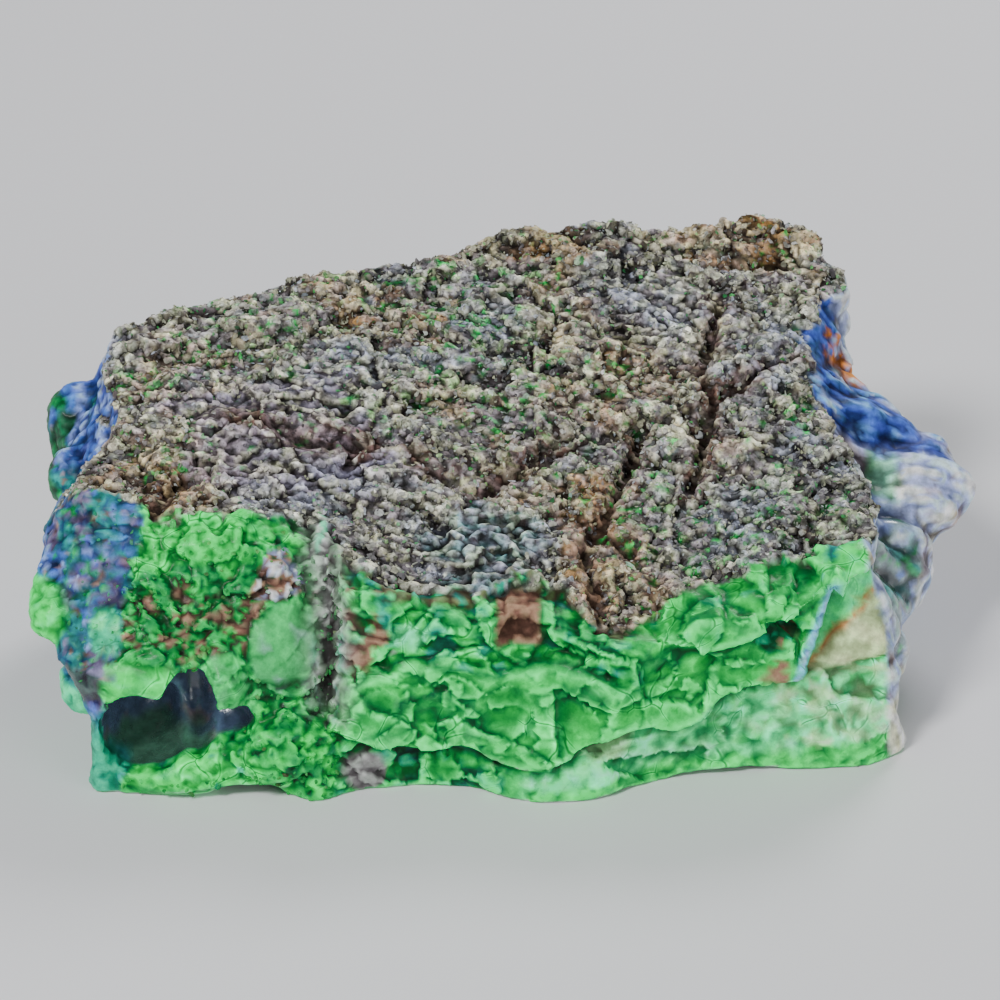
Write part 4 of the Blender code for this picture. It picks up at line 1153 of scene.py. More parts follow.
        # Painted highlight just inside the raised plate's rim, and a dark line just outside it.
        lay(block * line(plate_gap + 0.07, 0.06) * 0.8, c.pale_green, 0.6)
        lay(block * line(plate_gap - 0.03, 0.06) * 0.7, c.deep, 0.1)
        lip = block * Patch((-47.4, -44, 16.2), (7.2, 9, 3.2), 0.15, 2.0).mask(x, y, z, 209)
        contour = np.abs(lumpy(0.4 * x, 0.0 * y, z + 0.25 * x, 1.6, 227))
        lay(lip, c.vivid, 0.9, Lustre.WAXY)
        lay(lip * line(contour, 0.1) * 0.7, c.pale_green, 0.8)
        lay(lip * over(mid - 0.2, 2.0) * 0.5, c.leaf, 0.5)
        grain = np.maximum(np.abs(x + 29.3) / (3.0 - 0.55 * (z - 27.0)), np.abs(z - 28.0) / 2.6) + 0.08 * fine
        grain = block * (past(1.0 - grain, 0.12) * eased((z - 25.0) / 0.6))
        lay(grain, c.red_brown, 0.0, Lustre.SATIN)
        lay(grain * over(speck - 0.05, 4.0), c.white)
        lay(grain * over(-speck - 0.35, 4.0), c.dark_brown)
        sill = block * Patch((-42, -43, 3.6), (12, 7, 4.6), 0.2, 2.0).mask(x, y, z, 211)
        lay(sill, c.vivid, 0.9, Lustre.WAXY)
        lay(sill * over(mid + 0.6 * fine, 2.4) * 0.7, c.leaf, 0.6)
        lay(sill * line(contour, 0.07) * 0.7, c.pale_green, 0.8)
        lay(sill * eased((2.4 - z + mid) / 1.0) * 0.85, c.leaf, 0.3)
        lay(sill * over(mid - fine - 0.6, 3.0) * 0.7, c.teal, 0.1)
        hollow = self.hollow_share(x, y, z)
        lay(hollow, c.steel, 0.9, Lustre.GLASSY)
        lay(hollow * over(mid + 0.5 * fine - 0.2, 1.6) * 0.5, c.brown, 0.5)
        lay(hollow * eased((7.4 - z + 0.8 * mid) / 1.6), c.moss, 0.9, Lustre.GLASSY)
        post = eased((-51.2 - x + 0.1 * z + 0.4 * mid) / 0.8) * eased((13.0 - z) / 3.0)
        post = block * (post * (1.0 - hollow))
        lay(post, c.sea, 0.4, Lustre.WAXY)
        lay(post * eased((5.0 - z + 0.1 * x + 5.0) / 2.0) * 0.8, c.vivid, 0.7)

    def hollow_share(self, x: Array, y: Array, z: Array) -> Array:
        """Return how far each point lies in the dark glassy hollow at the lower left."""
        share = np.zeros_like(x)
        for name in ("hollow", "hollow_top", "hollow_tip"):
            share = np.maximum(share, eased((0.9 - ellipsoid(x, y, z, *self.shape.bites[name])) / 0.5))
        behind = y - self.shape.front_wall(x, z)
        return share * np.maximum(eased(behind - 1.2), eased((y + 40.4) / 1.2))

    def paint_ends(self, coat: Coat, zone: dict[str, Array], x: Array, y: Array, z: Array) -> None:
        """Lay the colours of the left and the right end."""
        c, lay = self.colours, coat.lay
        wide = lumpy(x, y, z, 5.0, 231)
        mid = lumpy(x, y, z, 2.2, 232)
        fine = lumpy(x, y, z, 1.0, 233)
        speck = lumpy(x, y, z, 0.75, 234)
        groove = lumpy(0.3 * x, y + 0.4 * z + 0.6 * wide, 0.3 * z, 1.1, 235)
        upright = lumpy(x + 0.4 * y + 0.2 * z + 0.7 * mid, 0.4 * y, 0.35 * z + 0.5 * mid, 1.3, 245)

        corner = zone["block"] * self.corner_share(x, z)
        left = np.maximum(zone["left"], corner)
        lay(left, c.petrol, 0.05, Lustre.SATIN)
        lay(left * over(wide - mid - 0.2 + 0.5 * fine, 3.0) * 0.8, c.purple)
        lay(left * over(mid + 0.7 * fine - 0.1, 3.4) * 0.85, c.teal, 0.1)
        lay(left * over(upright + 0.4 * fine - 0.2, 3.4) * 0.8, c.blue)
        lay(left * over(speck + upright - 0.75, 4.0) * 0.8, c.lilac)
        lay(left * over(speck - fine - 0.7, 3.4) * 0.8, c.red_brown)
        lay(left * over(-speck - 0.5 * fine - 0.35, 4.0) * 0.85, c.night_blue)
        lay(left * over(fine - speck + wide - 0.9, 3.0) * 0.8, c.fresh, 0.3)
        strip = corner * line(x + 49.8 - 0.14 * (z - 26.0), 1.3)
        lay(strip * over(mid + 0.5, 2.0) * 0.7, c.blue, 0.0, Lustre.SATIN)
        lay(strip * over(upright - 0.1, 3.0) * 0.8, c.sea, 0.2)
        ribs = zone["left"] * eased((z - 28.0 + mid) / 2.0) * eased((y + 20.0) / 4.0)
        lay(ribs * 0.8, c.blue)
        lay(ribs * over(fine + upright - 0.1, 2.6) * 0.8, c.lilac)
        lay(left * eased((14.0 - z + 2.0 * mid) / 4.0) * 0.8, c.teal, 0.1, Lustre.WAXY)
        lay(left * eased((11.0 - z + 2.0 * mid) / 4.0) * 0.7, c.sea, 0.15, Lustre.WAXY)
        for number, window in enumerate((
            Patch((-62, 12.5, 26), (8, 6.6, 7), 0.5, 3.0), Patch((-62, -0.6, 24), (7, 4.6, 5), 0.5, 3.0),
        )):
            inside = window.mask(x, y, z, 236 + number) * zone["left"]
            lay(inside, c.bottle, 0.05, Lustre.WAXY)
            lay(inside * over(groove + 0.3 * mid, 1.8) * 0.7, c.leaf, 0.1)
            lay(inside * line(groove, 0.12) * 0.7, c.moss)
        chip = Patch((-61, -29.5, 21), (6, 8, 4.4), 0.12, 2.0).mask(x, y, z, 238)
        lay(left * chip, c.vivid, 0.8, Lustre.WAXY)
        lay(left * chip * over(fine, 2.4) * 0.7, c.pale_green, 0.7)
        second = Patch((-51.4, -38, 21.8), (2.3, 8, 2.5), 0.15, 2.0).mask(x, y, z, 239)
        lay(left * second, c.sea, 0.6, Lustre.WAXY)
        lay(left * second * over(fine - 0.2, 2.4) * 0.7, c.mint, 0.5)
        notch = eased((2.3 - np.abs(z - 15.2 - 0.12 * (x + 56.0)) + 0.4 * mid) / 0.5) * eased(-51.6 - x)
        lay((left + zone["block"]) * notch * eased((-24.0 - y) / 4.0), c.slate, 0.0, Lustre.GLASSY)
        lower = Patch((-57, -33, 10.2), (4.4, 9, 2.6), 0.15, 2.0).mask(x, y, z, 241)
        lay(left * lower, c.sea, 0.4, Lustre.WAXY)
        lay(left * lower * over(mid + 0.2, 2.0) * 0.6, c.mint, 0.3)

        right = zone["right"]
        fold = self.fold(x, y, z)
        lay(right, c.white, 0.0, Lustre.WAXY)
        lay(right * over(wide + 0.6 * mid, 1.6) * 0.8, c.lilac)
        lay(right * over(mid - wide + 0.2 * fine - 0.2, 2.0) * 0.7, c.sand)
        lay(right * over(wide + 0.8 * mid + 0.4 * fine - 0.45, 2.4) * 0.7, c.smoke)
        lay(right * over(groove - wide + 0.3 * fine - 0.5, 2.4) * 0.6, c.red_brown)
        lay(right * eased((0.62 - fold + 0.15 * fine) / 0.25) * 0.4, c.red_brown)
        lay(right * eased((0.48 - fold + 0.1 * fine) / 0.15) * 0.7, c.brown)
        lay(right * line(fold - 0.72, 0.08) * 0.5, c.lilac)
        lay(right * over(fine + speck - 0.75, 3.0) * 0.5, c.brown)
        rind = line(np.hypot(x - 63.4, (y - 1.0) / 9.0), 1.1) * eased((23.5 - z + mid) / 2.0)
        rind = rind * eased((x - 60.5) / 1.5)
        lay(right * rind * over(fine + 0.5, 2.0) * 0.8, c.ochre, 0.0, Lustre.SATIN)
        dome = Patch((52.6, -1, 24.5), (3.6, 6, 5), 0.2, 2.5).mask(x, y, z, 247)
        lay(right * dome * 0.75, c.cream, 0.05)
        lay(right * dome * over(mid - 0.1, 2.0) * 0.5, c.smoke)
        glass = right * Patch((54, -19, 20), (5, 9, 9), 0.4, 3.0).mask(x, y, z, 242)
        lay(glass, c.smoke, 0.0, Lustre.GLASSY)
        lay(glass * over(mid - 0.15, 3.0) * 0.8, c.teal, 0.1)
        lay(glass * over(fine - 0.25, 3.5) * 0.7, c.fresh, 0.3)
        lay(glass * over(-mid - 0.3, 3.0) * 0.7, c.blue)
        low = eased((10.0 - z + 2.5 * mid) / 5.0) * eased((-6.0 - y) / 5.0)
        lay(right * low * 0.7, c.sand, 0.05)
        shoulder = np.interp(y, self.shape.right_y, self.shape.shoulder_height)
        slope = right * (eased((z - shoulder - 3.0 + 1.6 * mid) / 2.4) * eased((y + 1.5 + 2.0 * mid) / 3.0))
        lay(slope, c.blue, 0.0, Lustre.SATIN)
        lay(slope * over(mid + 0.3 * fine - 0.1, 2.2) * 0.7, c.sky)
        lay(slope * line(groove - 0.05, 0.16) * 0.95, c.night_blue)
        lay(slope * over(wide + fine - 0.3, 2.4) * eased((y - 12.0) / 5.0) * 0.8, c.teal, 0.05)
        lay(slope * over(speck + mid - 0.8, 3.0) * 0.6, c.white)
        spot = Patch((50, 19, 35), (6, 3.4, 4.4), 0.4).mask(x, y, z, 243)
        lay(right * spot * over(fine + 0.4, 2.4), c.orange, 0.0, Lustre.DULL)
        lump = Patch((49, 28, 40), (5, 4.4, 4.4), 0.3).mask(x, y, z, 244)
        lay(right * lump * 0.85, c.white)
        lay(right * lump * over(fine - 0.1, 2.6) * 0.6, c.sand)

    def paint_back(self, coat: Coat, zone: dict[str, Array], x: Array, y: Array, z: Array) -> None:
        """Lay the colours of the back and of the underside."""
        c, lay = self.colours, coat.lay
        wide = lumpy(x, y, z, 7.0, 251)
        mid = lumpy(x, y, z, 2.6, 252)
        fine = lumpy(x, y, z, 1.1, 253)
        streak = lumpy(0.4 * x + 0.5 * mid, 0.4 * y, z + 0.25 * x + 0.9 * mid + 1.5 * wide, 1.5, 254)
        back = zone["back"]
        lay(back, c.leaf, 0.3, Lustre.WAXY)
        lay(back * over(wide + 0.5 * mid + 0.15, 2.0) * 0.9, c.fresh, 0.5)
        lay(back * over(mid + streak - 0.5, 2.0) * 0.7, c.vivid, 0.7)
        lay(back * eased((12.0 - z + 4.0 * wide) / 3.0), c.mint, 0.3)
        lay(back * eased((12.0 - z + 4.0 * wide) / 3.0) * over(fine + mid - 0.2, 2.2) * 0.7, c.cream, 0.2)
        layer = back * eased((z - through(self.shape.back_layer_edge, x) + 1.2 * mid) / 1.4 + 0.3)
        lay(layer, c.taupe, 0.0, Lustre.DULL)
        lay(layer * over(streak + 0.1, 2.2) * 0.7, c.grey_brown)
        lay(layer * over(fine + mid - 0.5, 2.4) * 0.7, c.sand)
        lay(back * over(streak - wide - 0.5, 2.2) * 0.8, c.brown, 0.0, Lustre.SATIN)
        lay(back * over(-streak + 0.5 * fine - 0.45, 3.0) * 0.8, c.deep, 0.1)
        under = zone["under"]
        lay(under, c.olive, 0.1, Lustre.SATIN)
        lay(under * over(wide + 0.6 * mid, 2.0) * 0.85, c.cream, 0.05)
        lay(under * over(mid + fine - 0.3, 2.2) * 0.7, c.leaf, 0.2)
        lay(under * over(-wide + fine - 0.4, 2.2) * 0.8, c.taupe, 0.0, Lustre.DULL)

    def paint_crust(self, coat: Coat, zone: dict[str, Array], x: Array, y: Array, z: Array) -> None:
        """Lay the colours of the weathered crust."""
        c, lay = self.colours, coat.lay
        wide = lumpy(x, y, 0.0, 8.0, 261)
        mid = lumpy(x, 1.3 * y, z, 3.0, 262)
        fine = lumpy(x, 1.4 * y, z, 1.2, 263)
        speck = lumpy(x, y, z, 0.75, 264)
        (plate, plate_by, gap), (scale, scale_by, gap_two) = self.crust_shells(x, y)
        crust = zone["crust"]
        lay(crust, c.grey_brown, 0.0, Lustre.DULL)
        lay(crust * over(0.7 * scale + mid + 0.4 * fine, 1.8) * 0.85, c.taupe)
        lay(crust * over(0.6 * scale + fine + speck - 0.35, 2.4) * 0.9, c.sand)
        lay(crust * over(-fine + 0.4 * speck - 0.5, 3.6) * 0.9, c.dark_brown)
        lay(crust * over(speck - mid - 0.55, 3.0) * 0.6, c.smoke)
        lay(crust * over(wide + 0.6 * mid - 0.1, 1.8) * 0.5, c.tan)
        lay(crust * over(0.6 * mid - wide + 0.4 * fine - 0.1, 1.8) * 0.5, c.blue_grey)
        lay(crust * over(0.8 * wide + mid + 0.5 * speck - 0.7, 2.4) * 0.5, c.ochre)
        violet = Patch((-30, -9, 36), (17, 13, 12), 0.5, 4.0).mask(x, y, z, 265)
        lay(crust * violet * (0.45 + 0.4 * mid), c.violet_grey)
        grey_green = Patch((-1.5, -27, 30), (8, 9, 10), 0.45, 3.0).mask(x, y, z, 266)
        lay(crust * grey_green * (0.4 + 0.5 * fine), c.teal, 0.05)
        lay(crust * grey_green * over(speck - 0.1, 3.0) * 0.5, c.violet_grey)
        for number, stain in enumerate((
            Patch((-15, 17, 41), (8, 7, 10), 0.6, 3.0), Patch((8, 31, 46), (11, 4, 10), 0.5, 3.0),
            Patch((35, 33, 46), (11, 4, 10), 0.5, 3.0), Patch((-45, -23, 36), (3.6, 5, 6), 0.4),
            Patch((12, -24, 28), (3.6, 13, 10), 0.5),
        )):
            lay(crust * stain.mask(x, y, z, 267 + number) * (0.5 + 0.5 * mid), c.ochre)
        for number, green in enumerate((
            Patch((11, -9, 33), (3.4, 4, 9), 0.6), Patch((20, -13, 33), (4.4, 9, 9), 0.8),
            Patch((-51.5, 3, 38), (1.8, 2, 6), 0.4), Patch((31, -24, 30), (9, 7, 9), 0.9),
            Patch((27, -5, 34), (1.6, 5, 6), 0.3), Patch((-3, 2, 37), (12, 9, 9), 1.1),
            Patch((40, 0, 35), (5, 5, 9), 0.7), Patch((-6, 20, 42), (12, 8, 9), 1.1),
            Patch((-36, 12, 39), (10, 7, 9), 1.1), Patch((42, -20, 30), (7, 8, 9), 0.9),
        )):
            spotted = green.mask(x, y, z, 272 + number) * over(fine + 0.6 * speck - 0.1, 2.6)
            lay(crust * spotted * 0.85, c.leaf, 0.4, Lustre.SATIN)
            lay(crust * spotted * over(speck, 3.0) * 0.8, c.fresh, 0.7)
        # Painted shade along the lower side of each plate and scale border, and a painted highlight on the
        # upper side of the plate borders.
        ledge = eased((np.abs(plate - plate_by) - 0.1) / 0.3)
        lay(crust * line(gap, 0.45) * ledge * (plate < plate_by) * 0.95, c.dark_brown)
        lay(crust * line(gap, 0.5) * ledge * (plate > plate_by) * 0.35, c.sand)
        ledge = eased((np.abs(scale - scale_by) - 0.2) / 0.3)
        lay(crust * line(gap_two, 0.3) * ledge * (scale < scale_by) * 0.8, c.dark_brown)
        # A red-brown band beside each crack and a dark brown core in it; the dark core is painted shade in
        # the crack.
        for route, half_width, _ in self.shape.cracks:
            gap = gap_to_route(x + 0.8 * fine, y + 0.8 * mid, route)
            lay(crust * line(gap, 1.6 * half_width) * 0.4, c.red_brown)
            lay(crust * line(gap, 0.7 * half_width) * (0.65 + 0.35 * mid), c.dark_brown)
        thread = over(speck + 0.8 * wide - 0.95, 4.0)
        lay(crust * thread * 0.8, c.fresh, 0.3)


def in_scene(name: str, data: bpy.types.ID) -> bpy.types.Object:
    """Make an object of a mesh, a lamp or a camera, and link it to the scene."""
    item = bpy.data.objects.new(name, data)
    bpy.context.scene.collection.objects.link(item)
    return item


def made_plain(piece: bpy.types.Object) -> bpy.types.Mesh:
    """Turn what a piece's modifiers make into its plain mesh, and return that mesh."""
    raw = piece.data
    ready = bpy.data.meshes.new_from_object(piece.evaluated_get(bpy.context.evaluated_depsgraph_get()))
    piece.modifiers.clear()
    piece.data = ready
    bpy.data.meshes.remove(raw)
    ready.name = piece.name
    return ready


def read(items: bpy.types.bpy_prop_collection, name: str, width: int) -> Array:
    """Read one property of every item of a collection as rows of numbers."""
    values = np.empty(len(items) * width)
    items.foreach_get(name, values)
    return values.reshape(-1, width)


def store_number(mesh: bpy.types.Mesh, name: str, values: Array) -> None:
    """Keep one number for each point of a mesh as an attribute."""
    mesh.attributes.new(name, "FLOAT", "POINT").data.foreach_set("value", values.astype(np.float32))


def store_colour(mesh: bpy.types.Mesh, name: str, colours: Array) -> None:
    """Keep one colour for each point of a mesh as an attribute."""
    rows = np.column_stack([colours, np.ones(len(colours))]).astype(np.float32)
    mesh.attributes.new(name, "FLOAT_COLOR", "POINT").data.foreach_set("color", rows.ravel())


def bending(mesh: bpy.types.Mesh, points: Array, normals: Array) -> tuple[Array, Array]:
    """Say how the surface bends at each point: above zero in a hollow, below zero on a ridge.

    Args:
        mesh: the mesh, for its edges.
        points: its points.
        normals: its points' normals.

    Returns:
        The bending over about one edge, and over several, in millimetres.
    """
    ends = np.empty(len(mesh.edges) * 2, np.int64)
    mesh.edges.foreach_get("vertices", ends)
    one, two = ends.reshape(-1, 2).T
    count = np.bincount(one, minlength=len(points)) + np.bincount(two, minlength=len(points))
    smoothed = points.copy()
    results = []
    for rounds in (2, 14):
        for _ in range(rounds):
            total = np.zeros_like(points)
            for axis in range(3):
                total[:, axis] = np.bincount(one, smoothed[two, axis], len(points))
                total[:, axis] += np.bincount(two, smoothed[one, axis], len(points))
            smoothed = total / count[:, None]
        results.append(np.einsum("ij,ij->i", smoothed - points, normals))
    return results[0], results[1]


class Bench:
    """A node tree with short ways to add a node and to join two."""

    def __init__(self, tree: bpy.types.NodeTree) -> None:
        """Keep the tree."""
        self.tree = tree

    def add(self, kind: str, inputs: dict | None = None, **settings: object) -> bpy.types.Node:
        """Add a node.

        Args:
            kind: the node's type.
            inputs: input name or number to a value, or to a socket to join it to.
            **settings: the node's own properties.

        Returns:
            The node.
        """
        node = self.tree.nodes.new(kind)
        for name, value in settings.items():
            setattr(node, name, value)
        self.feed(node, inputs or {})
        return node

    def feed(self, node: bpy.types.Node, inputs: dict) -> None:
        """Set a node's inputs, by name or number, to values, or join them to sockets."""
        for name, value in inputs.items():
            if isinstance(value, bpy.types.NodeSocket):
                self.tree.links.new(value, node.inputs[name])
            else:
                node.inputs[name].default_value = value

    def kept(self, name: str, output: str = "Fac") -> bpy.types.NodeSocket:
        """Return the socket of one of the surface's own attributes."""
        return self.add("ShaderNodeAttribute", attribute_name=name).outputs[output]

    def blend(self, share: object, first: object, second: object, mode: str = "MIX") -> bpy.types.NodeSocket:
        """Mix two colours and return the result's socket."""
        inputs = {0: share, 6: first, 7: second}
        return self.add("ShaderNodeMix", inputs, data_type="RGBA", blend_type=mode).outputs[2]

    def sum(self, operation: str, first: object, second: object) -> bpy.types.NodeSocket:
        """Join two numbers by an operation and return the result's socket."""
        return self.add("ShaderNodeMath", {0: first, 1: second}, operation=operation).outputs[0]

    def spread(
        self, value: object, low: float, high: float, to_low: float, to_high: float,
    ) -> bpy.types.NodeSocket:
        """Carry a number from one range to another, held at its ends."""
        names = ("Value", "From Min", "From Max", "To Min", "To Max")
        inputs = dict(zip(names, (value, low, high, to_low, to_high)))
        return self.add("ShaderNodeMapRange", inputs, clamp=True).outputs[0]


def stone_mottle_group() -> bpy.types.NodeTree:
    """Build the shader group that varies a stone's colour in fine clouds, veins with painted highlights
    beside them, and specks.

    Returns:
        The group, with a colour and a height coming out.
    """
    group = bpy.data.node_groups.new("stone_mottle", "ShaderNodeTree")
    face = group.interface
    face.new_socket("Colour", in_out="INPUT", socket_type="NodeSocketColor")
    for name, value in (
        ("Cloud Scale", 900.0), ("Speck Scale", 3200.0), ("Strength", 0.5), ("Specks", 0.5),
        ("Vein Scale", 190.0), ("Veins", 0.0),
    ):
        face.new_socket(name, in_out="INPUT", socket_type="NodeSocketFloat").default_value = value
    face.new_socket("Colour", in_out="OUTPUT", socket_type="NodeSocketColor")
    face.new_socket("Height", in_out="OUTPUT", socket_type="NodeSocketFloat")
    bench = Bench(group)
    given = bench.add("NodeGroupInput").outputs
    place = bench.add("ShaderNodeTexCoord").outputs["Object"]
    clouds = bench.add("ShaderNodeTexNoise", {
        "Vector": place, "Scale": given["Cloud Scale"], "Detail": 3.0, "Roughness": 0.62,
    }).outputs["Fac"]
    specks = bench.add(
        "ShaderNodeTexVoronoi", {"Vector": place, "Scale": given["Speck Scale"]}, feature="F1",
    ).outputs["Distance"]
    darker = bench.spread(clouds, 0.35, 0.5, 1.0, 0.0)
    lighter = bench.spread(clouds, 0.52, 0.68, 0.0, 1.0)
    dark_share = bench.sum("MULTIPLY", darker, given["Strength"])
    light_share = bench.sum("MULTIPLY", lighter, given["Strength"])
    dark = bench.blend(dark_share, given["Colour"], (0.32, 0.34, 0.3, 1.0), "MULTIPLY")
    light = bench.blend(light_share, dark, (1.9, 1.85, 1.9, 1.0), "MULTIPLY")
    speck_mask = bench.sum("MULTIPLY", bench.spread(specks, 0.12, 0.3, 1.0, 0.0), given["Specks"])
    done = bench.blend(speck_mask, light, (0.22, 0.2, 0.18, 1.0), "MULTIPLY")
    warp = bench.add("ShaderNodeTexNoise", {"Vector": place, "Scale": 150.0, "Detail": 1.0}).outputs["Color"]
    warp = bench.add("ShaderNodeVectorMath", {0: warp, "Scale": 0.011}, operation="SCALE").outputs[0]
    bent = bench.add("ShaderNodeVectorMath", {0: place, 1: warp}, operation="ADD").outputs[0]
    edges = bench.add(
        "ShaderNodeTexVoronoi", {"Vector": bent, "Scale": given["Vein Scale"]}, feature="DISTANCE_TO_EDGE",
    ).outputs["Distance"]
    patchy = bench.add("ShaderNodeTexNoise", {"Vector": bent, "Scale": 130.0, "Detail": 1.0}).outputs["Fac"]
    veins = bench.sum("MULTIPLY", given["Veins"], bench.spread(patchy, 0.48, 0.56, 0.0, 1.0))
    dark_line = bench.sum("MULTIPLY", veins, bench.spread(edges, 0.006, 0.03, 1.0, 0.0))
    # Painted highlight: a lighter rim beside each dark vein line.
    rim_in, rim_out = bench.spread(edges, 0.02, 0.04, 0.0, 1.0), bench.spread(edges, 0.05, 0.09, 1.0, 0.0)
    rim = bench.sum("MULTIPLY", rim_in, rim_out)
    done = bench.blend(bench.sum("MULTIPLY", rim, veins), done, (1.9, 1.6, 1.9, 1.0), "MULTIPLY")
    done = bench.blend(dark_line, done, (0.16, 0.26, 0.2, 1.0), "MULTIPLY")
    height = bench.sum("SUBTRACT", clouds, bench.sum("MULTIPLY", speck_mask, 0.35))
    bench.add("NodeGroupOutput", {"Colour": done, "Height": height})
    return group


@dataclass(frozen=True)
class StoneFinish:
    """Chalcedony and crust: colours from the surface's own zones, with fine mottling and relief on them."""

    name: str = "chalcedony_surface"
    glow_strength: float = 0.62
    bump: float = 0.35
    bump_height: float = 0.00025

    def material(self, mottle: bpy.types.NodeTree) -> bpy.types.Material:
        """Build the material.

        Args:
            mottle: the shader group for fine variation.

        Returns:
            The material.
        """
        material, bench, shader = new_material(self.name)
        crust, glow, gloss = (bench.kept(name) for name in ("crust", "glow", "gloss"))
        veins = bench.sum(
            "MULTIPLY", bench.spread(glow, 0.3, 0.7, 0.0, 0.75), bench.spread(gloss, 0.1, 0.4, 1.0, 0.0),
        )
        fine = bench.add("ShaderNodeGroup", {
            "Colour": bench.kept("tint", "Color"), "Veins": veins,
            "Cloud Scale": 620.0, "Speck Scale": 2400.0,
            "Strength": bench.spread(crust, 0.0, 1.0, 0.42, 1.0),
            "Specks": bench.spread(crust, 0.0, 1.0, 0.12, 0.6),
        }, node_tree=mottle).outputs
        grey = bench.add("ShaderNodeCombineColor", {"Red": glow, "Green": glow, "Blue": glow}).outputs[0]
        bump = bench.add("ShaderNodeBump", {
            "Height": fine["Height"], "Strength": self.bump, "Distance": self.bump_height,
        })
        # Painted glow: the surface gives off its own colour, scaled by the glow attribute, so its green stays
        # bright in shade.
        bench.feed(shader, {
            "Base Color": fine["Colour"], "Roughness": bench.kept("rough"), "Coat Weight": gloss,
            "Specular IOR Level": bench.spread(gloss, 0.0, 0.55, 0.04, 0.50),
            "Coat Roughness": 0.18, "IOR": 1.54,
            "Emission Color": bench.blend(1.0, fine["Colour"], grey, "MULTIPLY"),
            "Emission Strength": self.glow_strength, "Normal": bump.outputs[0],
        })
        return material


@dataclass(frozen=True)
class GrainFinish:
    """Loose-looking grains: the colour of the ground under each, moved towards its own shade."""

    name: str
    shades: tuple[tuple[float, Colour], ...]
    own_share: float = 0.6
    roughness: float = 0.8
    glow_strength: float = 0.0

    def material(self, mottle: bpy.types.NodeTree) -> bpy.types.Material:
        """Build the material.

        Args:
            mottle: the shader group for fine variation.

        Returns:
            The material.
        """
        material, bench, shader = new_material(self.name)
        ramp = bench.add("ShaderNodeValToRGB", {"Fac": bench.kept("shade")})
        stops = ramp.color_ramp.elements
        while len(stops) < len(self.shades):
            stops.new(0.5)
        for stop, (place, colour) in zip(stops, self.shades):
            stop.position = place
            stop.color = (*colour, 1.0)
        mixed = bench.blend(self.own_share, bench.kept("tint", "Color"), ramp.outputs["Color"])
        fine = bench.add("ShaderNodeGroup", {
            "Colour": mixed, "Cloud Scale": 1100.0, "Speck Scale": 3600.0, "Strength": 0.8, "Specks": 0.3,
        }, node_tree=mottle).outputs["Colour"]
        bench.feed(shader, {"Base Color": fine, "Roughness": self.roughness, "Specular IOR Level": 0.2})
        # Painted glow on the green grains.
        if self.glow_strength:
            bench.feed(shader, {"Emission Color": fine, "Emission Strength": self.glow_strength})
        return material


@dataclass(frozen=True)
class FloorFinish:
    """Plain pale paper under the stone."""

    name: str = "pale_floor"
    colour: Colour = (0.78, 0.78, 0.80)

    def material(self) -> bpy.types.Material:
        """Build the material."""
        material, bench, shader = new_material(self.name)
        bench.feed(shader, {"Base Color": (*self.colour, 1.0), "Roughness": 0.8})
        return material


def new_material(name: str) -> tuple[bpy.types.Material, Bench, bpy.types.Node]:
    """Start a material and return it with its bench and its shader."""
    material = bpy.data.materials.new(name)
    material.use_nodes = True
    return material, Bench(material.node_tree), material.node_tree.nodes["Principled BSDF"]


